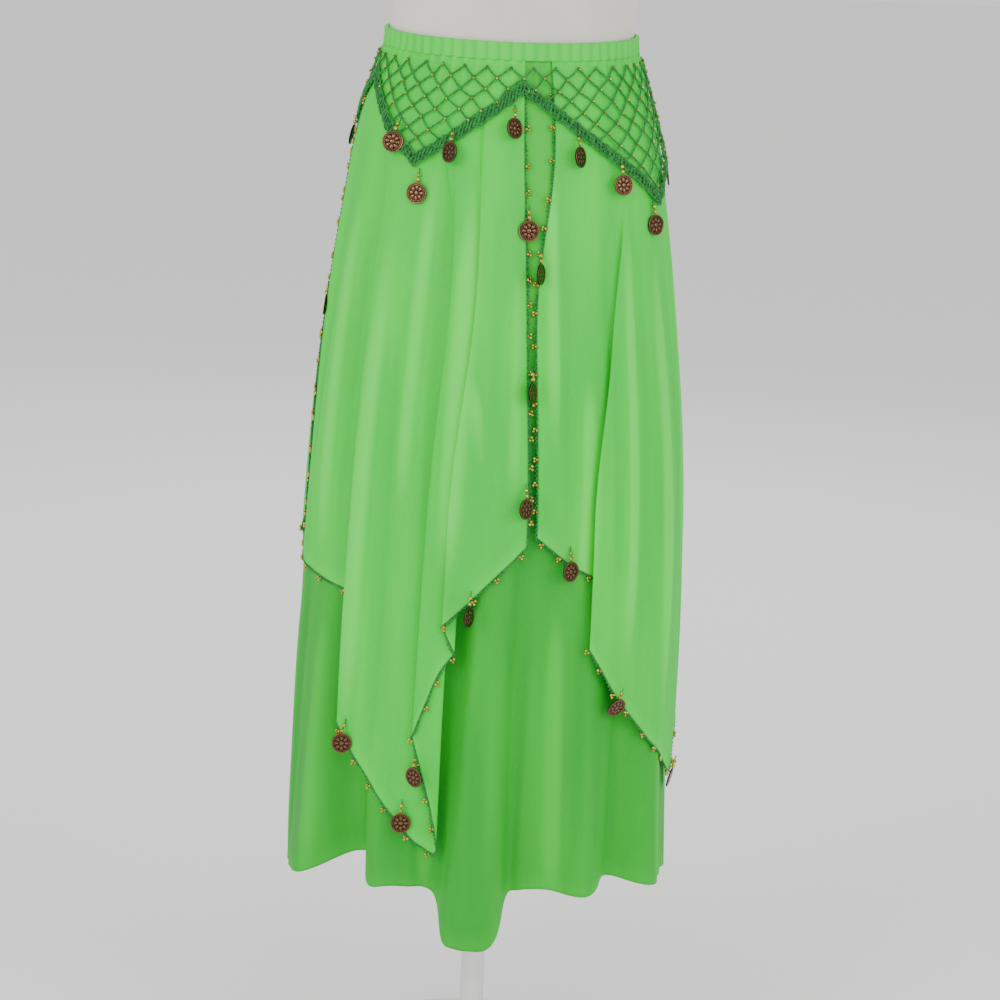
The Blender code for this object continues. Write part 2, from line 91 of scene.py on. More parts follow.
middle = Vector((0, 0, 0.75))
soft_light("light_left", Vector((-2.2, -2.6, 2.3)), middle, 1.8, 48)
soft_light("light_right", Vector((2.4, -2.2, 1.9)), middle, 1.8, 36)
soft_light("light_front", Vector((0.3, -3.6, 2.6)), middle, 1.2, 18)
soft_light("light_back", Vector((0.2, 2.8, 2.4)), middle, 2.0, 30)

world = bpy.data.worlds.new("studio")
world.use_nodes = True
world.node_tree.nodes["Background"].inputs["Color"].default_value = (1.0, 1.0, 1.0, 1.0)
world.node_tree.nodes["Background"].inputs["Strength"].default_value = 0.95
bpy.context.scene.world = world

floor_mesh = bmesh.new()
bmesh.ops.create_grid(floor_mesh, x_segments=1, y_segments=1, size=FLOOR_SIZE / 2)
floor_data = bpy.data.meshes.new("floor")
floor_mesh.to_mesh(floor_data)
floor_mesh.free()
floor = bpy.data.objects.new("floor", floor_data)
bpy.context.scene.collection.objects.link(floor)
floor_finish = bpy.data.materials.new("floor_paper")
floor_finish.use_nodes = True
floor_finish.node_tree.nodes["Principled BSDF"].inputs["Base Color"].default_value = (0.93, 0.93, 0.92, 1.0)
floor_finish.node_tree.nodes["Principled BSDF"].inputs["Roughness"].default_value = 0.9
floor_data.materials.append(floor_finish)

# %% [markdown]
# A finish is easier to read as a sum than as a web of boxes. The class below wraps a socket, so
# that `1 - mask` or `weave * 0.3` adds the Math nodes for us. Colours go through Mix nodes.

# %% Shader maths


class Value:
    """A number that changes over a surface and takes part in Python sums."""

    def __init__(self, finish, socket):
        self.finish = finish
        self.socket = socket

    def maths(self, operation, first, second):
        return self.finish.node("ShaderNodeMath", {"operation": operation}, {0: first, 1: second})

    def __add__(self, other):
        return self.maths("ADD", self, other)

    def __sub__(self, other):
        return self.maths("SUBTRACT", self, other)

    def __rsub__(self, other):
        return self.maths("SUBTRACT", other, self)

    def __mul__(self, other):
        return self.maths("MULTIPLY", self, other)

    __radd__ = __add__
    __rmul__ = __mul__


class Finish:
    """A material with one Principled shader, whose fixed numbers sit on the shader's sockets."""

    def __init__(self, name, **fixed):
        self.material = bpy.data.materials.new(name)
        self.material.use_nodes = True
        self.tree = self.material.node_tree
        self.shader = self.tree.nodes["Principled BSDF"]
        for socket, value in fixed.items():
            self.shader.inputs[socket.replace("_", " ")].default_value = value

    def node(self, kind, settings, inputs, output=0):
        """Adds any node: its settings first, then what its sockets hold."""
        node = self.tree.nodes.new(kind)
        for key, value in settings.items():
            if key == "stops":
                for spot, (at, colour) in enumerate(value):
                    new = spot > 1
                    stop = node.color_ramp.elements.new(at) if new else node.color_ramp.elements[spot]
                    stop.position = at
                    stop.color = colour
            else:
                setattr(node, key, value)
        for key, value in inputs.items():
            self.put(node.inputs[key], value)
        return Value(self, node.outputs[output])

    def put(self, socket, value):
        """Links a Value to a socket, or sets a plain number or colour on it."""
        if isinstance(value, Value):
            self.tree.links.new(value.socket, socket)
        else:
            socket.default_value = value

    def object_place(self, stretch=(1, 1, 1)):
        """Object coordinates, stretched."""
        place = self.node("ShaderNodeTexCoord", {}, {}, "Object")
        return self.node("ShaderNodeMapping", {}, {"Vector": place, "Scale": stretch})

    def height(self):
        """Height above the floor."""
        place = self.node("ShaderNodeTexCoord", {}, {}, "Object")
        return self.node("ShaderNodeSeparateXYZ", {}, {"Vector": place}, "Z")

    def cloth_place(self, stretch=(1, 1, 1)):
        """The piece's own map, in metres along and across the thread, stretched."""
        place = self.node("ShaderNodeTexCoord", {}, {}, "UV")
        return self.node("ShaderNodeMapping", {}, {"Vector": place, "Scale": stretch})

    def noise(self, place, scale, detail=2.0):
        """Soft random clouds."""
        return self.node("ShaderNodeTexNoise", {}, {"Vector": place, "Scale": scale, "Detail": detail})

    def range(self, value, low, high, new_low=0.0, new_high=1.0):
        """Stretches the part of a value between low and high over a new range."""
        inputs = {"Value": value, "From Min": low, "From Max": high, "To Min": new_low, "To Max": new_high}
        return self.node("ShaderNodeMapRange", {"interpolation_type": "SMOOTHSTEP"}, inputs)

    def mix(self, share, first, second):
        """Mixes two colours."""
        return self.node("ShaderNodeMix", {"data_type": "RGBA"}, {0: share, 6: first, 7: second}, 2)

    def mark(self, name):
        """A number stored on the piece's points."""
        return self.node("ShaderNodeAttribute", {"attribute_name": name}, {}, "Fac")

    def bump(self, height, distance, strength=1.0):
        """Feeds a height to the shader's normal."""
        inputs = {"Height": height, "Distance": distance, "Strength": strength}
        normal = self.node("ShaderNodeBump", {}, inputs)
        self.put(self.shader.inputs["Normal"], normal)


def colour(red, green, blue):
    """A picture colour from 0 to 255 as the shader's linear colour."""
    parts = [part / 255 for part in (red, green, blue)]
    return (*[part / 12.92 if part < 0.04 else ((part + 0.055) / 1.055) ** 2.4 for part in parts], 1.0)


# %% [markdown]
# Chiffon is a crepe: hard-twisted threads give it a fine grainy surface that barely shines.
# Two layers of it look lighter than one. Shade is painted into the colour: a shaded green in soft
# streaks that run down the cloth, more along the thread than across it, painted shade in the
# troughs of the folds and a painted highlight in a lit green on their ridges. Near a hem one layer
# alone is paler. A fine noise on the cloth's own map stands for the crepe, and a crossed pair of
# stretched noises for its threads.

# %% Chiffon
FORM_END = 0.81


def chiffon(name, light, middle_green, shaded_green, lit):
    """Soft crepe chiffon in lit, middle and shaded greens with painted highlights and painted shade, paler by a
    share where the white form is behind it.
    """
    finish = Finish(name, Sheen_Weight=0.05, Sheen_Roughness=0.45, IOR=1.33)
    finish.shader.inputs["Sheen Tint"].default_value = light
    along = finish.noise(finish.object_place((1, 1, 0.16)), 26, 3)
    broad = finish.noise(finish.object_place((1, 1, 0.3)), 6, 2)
    # Painted shade: the shaded green is mixed in along soft streaks that run down the cloth.
    shade = finish.range(along * 0.55 + broad * 0.45, 0.34, 0.66)
    warp = finish.noise(finish.cloth_place((1, 0.07, 1)), 1500, 1)
    weft = finish.noise(finish.cloth_place((0.07, 1, 1)), 1500, 1)
    crepe = finish.noise(finish.cloth_place(), 1100, 2)
    threads = warp * 0.4 + weft * 0.4 + crepe * 0.5
    base = finish.mix(shade, shaded_green, middle_green)
    # Painted highlight in the lit green on the ridges, painted shade in the shaded green in the troughs.
    base = finish.mix(finish.range(finish.mark("ridge"), 0.1, 1.0) * 0.8, base, light)
    base = finish.mix(finish.range(finish.mark("trough_shade"), 0.1, 1.0) * 0.75, base, shaded_green)
    base = finish.mix(finish.range(threads, 0.5, 0.85) * 0.16, base, light)
    base = finish.mix(finish.range(finish.mark("hem"), 0.35, 1.0) * 0.3, base, light)
    base = finish.mix(finish.range(finish.height(), FORM_END - 0.05, FORM_END + 0.06) * lit, base, light)
    finish.put(finish.shader.inputs["Base Color"], base)
    finish.put(finish.shader.inputs["Roughness"], finish.range(threads, 0.4, 0.9, 0.72, 0.58))
    finish.bump(threads, 0.00025, 0.5)
    return finish.material


# Lit, middle and shaded green of each chiffon: the lit one paints highlights, the shaded one paints shade.
overlay_greens = colour(82, 236, 70), colour(38, 218, 46), colour(14, 196, 50)
under_greens = colour(52, 196, 50), colour(32, 178, 38), colour(20, 156, 36)
overlay_finish = chiffon("overlay_chiffon_crepe", *overlay_greens, 0.1)
under_finish = chiffon("underskirt_chiffon_crepe", *under_greens, 0.85)

# %% [markdown]
# The crochet yarn is a soft acrylic of a darker emerald. Its plies twist round each other, so the
# finish carries slanted ridges and a little fuzz, with darker and lighter patches at random.

# %% Yarn, metals and form


def yarn_finish():
    """Matt crochet yarn with fibres and darker and lighter patches at random."""
    finish = Finish("crochet_yarn_acrylic", Sheen_Weight=0.15, Sheen_Roughness=0.6)
    fibres = finish.noise(finish.object_place((1, 1, 1)), 2600, 3)
    patches = finish.noise(finish.object_place((1, 1, 1)), 240, 2)
    base = finish.mix(finish.range(patches, 0.35, 0.65), colour(2, 92, 28), colour(6, 136, 40))
    base = finish.mix(finish.range(fibres, 0.45, 0.75) * 0.6, base, colour(24, 170, 58))
    finish.put(finish.shader.inputs["Base Color"], base)
    finish.put(finish.shader.inputs["Roughness"], finish.range(fibres, 0.3, 0.7, 0.7, 0.92))
    finish.bump(fibres, 0.0004, 0.6)
    return finish.material


def bead_finish():
    """Bright gold beads, rubbed in places."""
    finish = Finish("bead_gold", Metallic=1.0)
    worn = finish.noise(finish.object_place(), 420, 2)
    base = finish.mix(finish.range(worn, 0.35, 0.7), colour(224, 190, 92), colour(146, 118, 50))
    finish.put(finish.shader.inputs["Base Color"], base)
    finish.put(finish.shader.inputs["Roughness"], finish.range(worn, 0.3, 0.7, 0.2, 0.38))
    return finish.material


def coin_finish():
    """Antique bronze that is dark in the hollows and rubbed bright on the relief."""
    finish = Finish("coin_bronze", Metallic=1.0)
    relief = finish.mark("relief")
    spots = finish.noise(finish.object_place(), 700, 3)
    base = finish.mix(finish.range(relief + spots * 0.5, 0.35, 1.0), colour(20, 14, 12), colour(122, 90, 66))
    finish.put(finish.shader.inputs["Base Color"], base)
    finish.put(finish.shader.inputs["Roughness"], finish.range(relief + spots * 0.4, 0.2, 1.0, 0.46, 0.24))
    finish.bump(spots, 0.0002, 0.4)
    return finish.material


def form_finish():
    """Glossy off-white moulding with the faint waviness of its skin."""
    finish = Finish("form_gloss_white", Coat_Weight=0.5, Coat_Roughness=0.08)
    wave = finish.noise(finish.object_place(), 7, 2)
    speck = finish.noise(finish.object_place(), 900, 2)
    base = finish.mix(finish.range(wave, 0.35, 0.65), colour(214, 205, 197), colour(228, 221, 214))
    finish.put(finish.shader.inputs["Base Color"], base)
    finish.put(finish.shader.inputs["Roughness"], finish.range(speck, 0.3, 0.7, 0.24, 0.32))
    finish.bump(wave * 0.9 + speck * 0.02, 0.0012, 0.4)
    return finish.material


def enamel_finish():
    """White stoved enamel with a fine orange-peel surface."""
    finish = Finish("stand_enamel_white", Coat_Weight=0.3, Coat_Roughness=0.15)
    peel = finish.noise(finish.object_place(), 420, 2)
    dust = finish.noise(finish.object_place(), 18, 3)
    base = finish.mix(finish.range(dust, 0.4, 0.7), colour(236, 236, 234), colour(224, 224, 221))
    finish.put(finish.shader.inputs["Base Color"], base)
    finish.put(finish.shader.inputs["Roughness"], finish.range(dust, 0.3, 0.7, 0.3, 0.42))
    finish.bump(peel, 0.00015, 0.5)
    return finish.material


yarn_green = yarn_finish()
bead_gold = bead_finish()
coin_bronze = coin_finish()
form_white = form_finish()
stand_white = enamel_finish()
print("finishes", len(bpy.data.materials))

# %% [markdown]
# Every place on the skirt is an angle round it, a drop below the waistband's seam and a lift out
# from the plain underskirt. The tables and functions are those that the solids were made from,
# so cloth, net and coins sit where the solids are.

# %% Places on the skirt
WAIST_HEIGHT = 1.088
WAIST_RISE = 0.003
CHIFFON = 1.0 * MM
CLEARANCE = 0.35 * MM

# The underskirt's plain shape: how wide and deep it is at each drop
SHAPE_COLUMNS = ("drop", "half_width", "half_depth", "shift_x")
SHAPE = (
    (-0.030, 0.1247, 0.0930, 0.0),
    (0.000, 0.1262, 0.0938, 0.0),
    (0.018, 0.1318, 0.0982, 0.0),
    (0.028, 0.1352, 0.1002, 0.0),
    (0.048, 0.1412, 0.1045, 0.0),
    (0.068, 0.1470, 0.1085, 0.0),
    (0.088, 0.1516, 0.1120, 0.0),
    (0.109, 0.1555, 0.1155, 0.0),
    (0.148, 0.1607, 0.1215, 0.0),
    (0.188, 0.1667, 0.1270, 0.0),
    (0.228, 0.1720, 0.1320, 0.0),
    (0.273, 0.1770, 0.1370, 0.0),
    (0.348, 0.1840, 0.1440, 0.0),
    (0.468, 0.1905, 0.1520, 0.0),
    (0.548, 0.1935, 0.1560, -0.001),
    (0.653, 0.1955, 0.1600, -0.003),
    (0.890, 0.1965, 0.1660, -0.004),
)

# Waves of the underskirt's front hem: where, how far out, how far down, how fast they grow
# towards the hem, and how far the middle of the fold leans to the side
HEM_COLUMNS = ("angle", "out_mm", "drop", "growth", "lean")
FRONT_HEM = (
    (-90, 0, 0.861, 3.5, 0.0),
    (-76, 5, 0.854, 3.5, 0.0),
    (-64, 17, 0.848, 3.5, 0.0),
    (-56, 21, 0.845, 3.5, 0.0),
    (-51, 6, 0.835, 3.5, 0.0),
    (-47, -18, 0.824, 3.5, 0.0),
    (-42, -26, 0.820, 3.5, 0.0),
    (-37.5, -18, 0.821, 3.5, 0.0),
    (-34.5, 0, 0.840, 3.5, 0.0),
    (-27, 7, 0.839, 3.5, 0.0),
    (-19, -3, 0.839, 3.2, 0.5),
    (-13, -8, 0.841, 3.0, 2.0),
    (-9.8, 2, 0.858, 2.4, 4.8),
    (-8.2, 24, 0.879, 1.9, 4.8),
    (-5, 38, 0.884, 1.9, 3.8),
    (0, 42, 0.885, 2.1, 1.5),
    (5, 40, 0.884, 2.5, 0.0),
    (7.8, 24, 0.874, 2.8, -0.5),
    (9.3, 2, 0.847, 2.8, -0.5),
    (13, -2, 0.837, 3.5, 0.0),
    (18, 0, 0.835, 3.5, 0.0),
    (24, 2, 0.836, 3.5, 0.0),
    (28.5, 17, 0.839, 3.5, 0.0),
    (33, 23, 0.840, 3.5, 0.0),
    (38, 13, 0.838, 3.5, 0.0),
    (44, -6, 0.834, 3.5, 0.0),
    (50, -8, 0.836, 3.5, 0.0),
    (55, 12, 0.843, 3.5, 0.0),
    (61, 19, 0.848, 3.5, 0.0),
    (68, 12, 0.850, 3.5, 0.0),
    (78, 3, 0.855, 3.5, 0.0),
    (90, 0, 0.860, 3.5, 0.0),
)
BACK_WAVES = 6
BACK_WAVE_OUT = 15
BACK_HEM_DROP = 0.862
BACK_HEM_RIPPLE = 0.004
WAVE_GROWTH = 3.5

# Overlay panels. A pleat turns under at a row whose turn is 1 and comes back out at a
# row whose turn is -1, which is the pleat's edge. Angles are given at the hip and low
# on the skirt, lifts above the underskirt in millimetres, hem as a drop.
PANEL_COLUMNS = ("hip_angle", "low_angle", "hip_lift", "low_lift", "hem", "turn")
FRONT_PANEL = (
    (-86, -84, 0.0, 1.0, 0.522, 0),
    (-72, -66, 0.0, 3.5, 0.530, 0),
    (-50, -46, 0.0, 4.0, 0.538, 0),
    (-39, -34, 1.4, 6.0, 0.572, 1),
    (-46, -44.5, 6.2, 11.0, 0.674, -1),
    (-32, -28.5, 6.0, 11.5, 0.744, 0),
    (-22, -17.5, 2.4, 8.0, 0.786, 0),
    (-12, -10.9, 0.0, 6.8, 0.800, 0),
    (-12, -10.7, 3.2, 10.6, 0.782, 0),
    (-13.5, -13.2, 4.6, 11.8, 0.744, 0),
    (-16, -18.9, 6.4, 14.0, 0.674, -1),
    (-8, -12.5, 5.0, 14.5, 0.605, 0),
    (-3, -8.2, 4.0, 14.5, 0.584, 1),
    (-7.5, -12.0, 9.0, 19.5, 0.556, -1),
    (1, -1, 7.0, 16.5, 0.515, 0),
    (8.4, 10.4, 1.5, 8.5, 0.474, 0),
)
RIGHT_PANEL = (
    (11.7, 13.6, 1.0, 5.0, 0.466, 0),
    (22, 24, 0.5, 4.0, 0.494, 0),
    (34, 34, 0.3, 4.0, 0.512, 0),
    (47, 42, 1.4, 5.5, 0.545, 1),
    (40, 31, 6.2, 11.0, 0.582, -1),
    (50, 41, 5.5, 12.5, 0.635, 0),
    (63, 57, 2.5, 11.5, 0.690, 0),
    (80, 78, 0.5, 6.0, 0.743, 0),
    (100, 104, 0.3, 7.0, 0.640, 0),
    (120, 124, 0.3, 4.5, 0.540, 0),
    (141, 142, 0.3, 2.5, 0.450, 0),
)
LEFT_PANEL = (
    (145, 146, 0.3, 2.5, 0.450, 0),
    (165, 163, 0.3, 4.0, 0.520, 0),
    (186, 183, 1.4, 7.0, 0.590, 1),
    (178, 173, 6.2, 11.5, 0.630, -1),
    (192, 192, 5.5, 12.5, 0.700, 0),
    (208, 209, 2.5, 12.0, 0.757, 0),
    (232, 231, 0.3, 6.0, 0.630, 0),
    (254, 252, 0.0, 4.5, 0.540, 0),
    (271, 273, 0.0, 1.5, 0.490, 0),
)
OVERLAY_PANELS = (
    ("overlay_front", FRONT_PANEL, -84, 6.3),
    ("overlay_right", RIGHT_PANEL, 18.4, 140),
    ("overlay_left", LEFT_PANEL, 143, 273),
)
OVERLAY_BASE = 2.2 * MM
HIP_START = 0.06
HIP_END = 0.25
LIFT_DROP = 0.12
TURN_START = 0.100
TURN_END = 0.210
LOW_START = 0.21
LOW_END = 0.45
PLEAT_BEND = 1.4
PLEAT_STEP = 0.4
LONG_STRETCH = 6.5

# How far below a hem the hem still holds off what hangs there
HEM_MARGIN = 0.02

# Crocheted hip scarf: diamonds of net above a row of points with a solid border
NET_YARN = 1.8 * MM
NET_STRAND = 1.5 * MM
NET_PITCH = 10
NET_STEPS = 72
NET_ROWS = 16
NET_TOP = 0.006
NET_ROW = 0.0105
NET_BORDER = 0.008
NET_LIFT = OVERLAY_BASE + CHIFFON / 2 + CLEARANCE + NET_YARN / 2 + 0.8 * MM
NET_EDGE = (
    (-74, 0.030),
    (-34, 0.106),
    (6, 0.030),
    (67, 0.143),
    (122, 0.030),
    (160, 0.105),
    (198, 0.030),
    (242, 0.118),
    (286, 0.030),
)

def column(table, columns, name):
    """One named column of a table, as an array."""
    return np.array([row[columns.index(name)] for row in table], dtype=float)


def smooth(amount):
    """Eases from 0 to 1 as the amount goes from 0 to 1."""
    amount = min(max(amount, 0.0), 1.0)
    return amount * amount * (3 - 2 * amount)


def shape_at(drop):
    """Half width, half depth and sideways shift of the plain underskirt at a drop."""
    drops = column(SHAPE, SHAPE_COLUMNS, "drop")
    return [np.interp(drop, drops, column(SHAPE, SHAPE_COLUMNS, name)) for name in SHAPE_COLUMNS[1:]]


def place(angle, drop, lift=0.0):
    """The point at an angle and a drop, lifted straight out of the plain underskirt."""
    half_width, half_depth, shift = shape_at(drop)
    turn = math.radians(angle)
    across, along = math.sin(turn), -math.cos(turn)
    outward = Vector((half_depth * across, half_width * along, 0)).normalized()
    point = Vector((half_width * across + shift, half_depth * along, WAIST_HEIGHT - drop))
    point.z += WAIST_RISE * (1 - math.cos(turn)) * max(0.0, 1 - drop / HIP_END)
    return point + outward * lift


def smooth_values(stations, angles, values):
    """Reads a table between its rows along a curve that keeps to the rows' slopes."""
    slopes = np.gradient(values, angles)
    result = []
    for station in stations:
        row = min(max(int(np.searchsorted(angles, station)) - 1, 0), len(angles) - 2)
        span = angles[row + 1] - angles[row]
        part = (station - angles[row]) / span
        start = (1 + 2 * part) * (1 - part) ** 2 * values[row]
        end = part * part * (3 - 2 * part) * values[row + 1]
        bend = part * (1 - part) * span * ((1 - part) * slopes[row] - part * slopes[row + 1])
        result.append(float(start + end + bend))
    return result


def front_waves():
    """The front hem's table, smoothed to a station every few degrees."""
    angles = column(FRONT_HEM, HEM_COLUMNS, "angle")
    middles = (angles[1:] + angles[:-1]) / 2
    stations = np.sort(np.concatenate([angles, middles[np.diff(angles) > 3]]))
    inset = np.clip(stations, -90 + 0.1, 90 - 0.1)
    between = [smooth_values(stations, angles, column(FRONT_HEM, HEM_COLUMNS, name)) for name in HEM_COLUMNS[1:]]
    return list(zip(inset, *between))


def smooth_values(stations, angles, values):
    """Reads a table between its rows along a curve that keeps to the rows' slopes."""
    slopes = np.gradient(values, angles)
    result = []
    for station in stations:
        row = min(max(int(np.searchsorted(angles, station)) - 1, 0), len(angles) - 2)
        span = angles[row + 1] - angles[row]
        part = (station - angles[row]) / span
        start = (1 + 2 * part) * (1 - part) ** 2 * values[row]
        end = part * part * (3 - 2 * part) * values[row + 1]
        bend = part * (1 - part) * span * ((1 - part) * slopes[row] - part * slopes[row + 1])
        result.append(float(start + end + bend))
    return result


def back_waves():
    """Even waves round the back hem, which die out at the side seams."""
    waves = []
    count = BACK_WAVES * 5
    for number in range(count + 1):
        part = number / count
        swing = math.sin(2 * math.pi * BACK_WAVES / 2 * part)
        angle = 90 + 0.1 + (180 - 0.2) * part
        hem = BACK_HEM_DROP + BACK_HEM_RIPPLE * swing
        waves.append((angle, BACK_WAVE_OUT * swing, hem, WAVE_GROWTH, 0.0))
    return waves


def panel_stations(rows):
    """Stations across a panel: each pleat turn has two, and long stretches are divided."""
    stations = []
    for row in rows:
        values = np.array(row, dtype=float)
        turn = values[PANEL_COLUMNS.index("turn")]
        sides = (-1, 1) if turn else (0,)
        for side in sides:
            station = np.append(values, side)
            if stations:
                before = stations[-1]
                reach = abs(station[1] - before[1])
                pieces = max(1, round(reach / LONG_STRETCH))
                for piece in range(1, pieces):
                    between = before + (station - before) * piece / pieces
                    between[-1] = before[-1] if piece == 1 and before[5] else 0
                    between[-1] = -1 if piece == pieces - 1 and turn else between[-1]
                    between[5] = 0
                    stations.append(between)
            stations.append(station)
    return stations


def top_shares(stations):
    """How far across the panel each station lies, from 0 to 1."""
    low = np.array([station[1] for station in stations])
    reach = np.concatenate([[0], np.cumsum(np.abs(np.diff(low)) + 0.35)])
    return reach / reach[-1]


def pleated(station, top_angle, drop):
    """Angle and lift of a station at a drop."""
    hip_angle, low_angle, hip_lift, low_lift, _, _, side = station
    hip = smooth((drop - HIP_START) / (HIP_END - HIP_START))
    low = smooth((drop - LOW_START) / (LOW_END - LOW_START))
    turned = smooth((drop - TURN_START) / (TURN_END - TURN_START))
    angle = top_angle + (hip_angle - top_angle) * hip + (low_angle - hip_angle) * low
    angle += side * PLEAT_STEP * (1 - turned)
    lift = hip_lift * smooth(drop / LIFT_DROP) + (low_lift - hip_lift) * low
    lift += side * PLEAT_BEND * turned
    return angle, OVERLAY_BASE + max(lift, 0.0) * MM


def outermost(angle, drop):
    """Lift of the overlay's outermost layer at an angle and a drop."""
    best = 0.0
    for _, rows, first, last in OVERLAY_PANELS:
        stations = panel_stations(rows)
        places = []
        for station, share in zip(stations, top_shares(stations)):
            if station[4] + HEM_MARGIN > drop:
                places.append(pleated(station, first + (last - first) * share, drop))
        for (angle_a, lift_a), (angle_b, lift_b) in zip(places, places[1:]):
            for asked in (angle - 360, angle, angle + 360):
                if min(angle_a, angle_b) - 3 <= asked <= max(angle_a, angle_b) + 3:
                    best = max(best, lift_a, lift_b)
    return max(best, OVERLAY_BASE)


def widest(angle, drop):
    """The outermost layer's lift over the width of a coin."""
    return max(outermost(angle + aside, drop) for aside in (-COIN_REACH, 0, COIN_REACH))


def net_edge(angle):
    """Drop of the scarf's lower edge at an angle."""
    first = NET_EDGE[0][0]
    wrapped = (angle - first) % 360 + first
    return float(np.interp(wrapped, [row[0] for row in NET_EDGE], [row[1] for row in NET_EDGE]))




# %% [markdown]
# No cloth hangs quite even. One drape field moves everything that lies on the skirt: soft
# ridges and troughs that lean as they fall, slow waves between them, and the small gathers that
# run out of the elastic. Because cloth, net, beads and coins share the field, none of them cuts
# through another.

# %% Drape field
GATHERS = 66
CREASE_COLUMNS = ("angle", "lean", "start", "end", "width", "out_mm")
CREASES = (
    (-72, -3, 0.05, 0.50, 3.4, -2.0),
    (-62, 2, 0.10, 0.56, 4.0, 2.4),
    (-53, 1, 0.12, 0.52, 3.0, -2.4),
    (-39, -2, 0.12, 0.74, 3.6, 2.6),
    (-31.5, -1, 0.20, 0.79, 2.8, -3.0),
    (-25.5, -2, 0.06, 0.50, 3.0, 2.0),
    (-18.5, -1, 0.06, 0.54, 2.8, -3.0),
    (-10, -2, 0.08, 0.56, 4.0, 2.6),
    (-7, 7, 0.30, 0.43, 2.4, 1.6),
    (0, -1, 0.10, 0.46, 2.6, -2.2),
    (5, 1, 0.16, 0.46, 2.4, 1.6),
    (16, 2, 0.06, 0.40, 2.6, 2.2),
    (23, 1, 0.12, 0.52, 2.6, -2.6),
    (30, -2, 0.28, 0.56, 3.2, 2.2),
    (38, 1, 0.14, 0.58, 2.4, -3.0),
    (44.5, -1, 0.10, 0.66, 2.8, 2.6),
    (51, -1, 0.10, 0.68, 3.2, -2.4),
    (61, 3, 0.12, 0.72, 4.2, 2.6),
    (72, 2, 0.16, 0.72, 3.4, -2.6),
    (84, -2, 0.08, 0.60, 3.4, 1.8),
    (96, -3, 0.06, 0.62, 3.6, -2.2),
    (105, 3, 0.14, 0.66, 3.8, 2.6),
    (118, -2, 0.08, 0.60, 4.2, -2.4),
    (133, 4, 0.12, 0.50, 3.4, 2.2),
    (150, -2, 0.08, 0.46, 3.8, 2.4),
    (168, 3, 0.10, 0.64, 4.0, -2.6),
    (184, -3, 0.16, 0.62, 3.6, 2.2),
    (201, 2, 0.10, 0.72, 4.0, -2.4),
    (219, 3, 0.08, 0.66, 4.4, 2.6),
    (236, -3, 0.14, 0.60, 3.6, -2.4),
    (251, 2, 0.10, 0.54, 3.6, 2.4),
)
UNDER_CREASES = (
    (-80, 3, 0.50, 0.90, 3.0, 2.6),
    (-70, -2, 0.48, 0.88, 3.0, -2.6),
    (-56, 2, 0.52, 0.90, 3.4, 2.2),
    (-24, 2, 0.60, 0.90, 2.6, -2.0),
    (-16, 1, 0.58, 0.88, 2.6, 2.6),
    (-1, 2, 0.60, 0.92, 2.8, -2.4),
    (13, -2, 0.50, 0.90, 2.4, -2.6),
    (21, 3, 0.50, 0.90, 3.0, 2.6),
    (30, -2, 0.50, 0.86, 2.6, -2.0),
    (46, 2, 0.62, 0.92, 3.0, -2.2),
    (66, -3, 0.60, 0.90, 3.4, 2.2),
)


def soft_step(amount):
    """Eases an array from 0 to 1."""
    amount = np.clip(amount, 0.0, 1.0)
    return amount * amount * (3 - 2 * amount)


def creases(table, angle, drop):
    """The sum of a table's ridges and troughs, in millimetres."""
    total = np.zeros_like(angle)
    for middle_angle, lean, start, end, width, out_mm in table:
        along = (drop - start) / (end - start)
        centre = middle_angle + lean * along
        away = (angle - centre + 180) % 360 - 180
        fade = soft_step(along / 0.3) * soft_step((1 - along) / 0.3)
        total += out_mm * fade * np.exp(-(away / width) ** 2)
    return total


def gather_ridges(angle, drop):
    """Ridges that run out of the gathered waist, in millimetres."""
    turn = np.radians(angle)
    uneven = 0.65 + 0.35 * np.sin(7 * turn + 1.3) * np.sin(3 * turn + 0.4)
    reach = 0.026 + 0.010 * np.sin(11 * turn + 0.7)
    return 1.25 * np.sin(GATHERS * turn + 0.8 * np.sin(5 * turn)) * uneven * np.exp(-np.clip(drop, 0, None) / reach)


def drape(angle, drop):
    """How far the cloth stands out at angles and drops, in metres."""
    angle = np.asarray(angle, dtype=float)
    drop = np.asarray(drop, dtype=float)
    turn = np.radians(angle)
    grow = soft_step(drop / 0.35)
    slow = 0.8 * np.sin(13 * turn + 9 * drop + 0.6) + 0.6 * np.sin(22 * turn - 7 * drop + 2.1)
    slow += 0.35 * np.sin(37 * turn + 12 * drop + 4.0) * soft_step(drop / 0.08)
    return (creases(CREASES, angle, drop) + slow * grow + gather_ridges(angle, drop)) * MM


def where_is(points):
    """Angles and drops of points that lie on the skirt."""
    drops = column(SHAPE, SHAPE_COLUMNS, "drop")
    drop = WAIST_HEIGHT - points[:, 2]
    for _ in range(2):
        half_width, half_depth, shift = (
            np.interp(drop, drops, column(SHAPE, SHAPE_COLUMNS, name)) for name in SHAPE_COLUMNS[1:]
        )
        turn = np.arctan2((points[:, 0] - shift) / half_width, -points[:, 1] / half_depth)
        rise = WAIST_RISE * (1 - np.cos(turn)) * np.clip(1 - drop / HIP_END, 0, None)
        drop = WAIST_HEIGHT + rise - points[:, 2]
    outward = np.stack([half_depth * np.sin(turn), -half_width * np.cos(turn), np.zeros_like(turn)], axis=1)
    outward /= np.linalg.norm(outward, axis=1)[:, None]
    return np.degrees(turn), drop, outward


def draped(angle, drop, lift=0.0):
    """A place on the skirt, moved with the drape."""
    outward = place(angle, drop, 1.0) - place(angle, drop)
    return place(angle, drop, lift) + outward * float(drape(angle, drop))


print("creases", len(CREASES) + len(UNDER_CREASES))
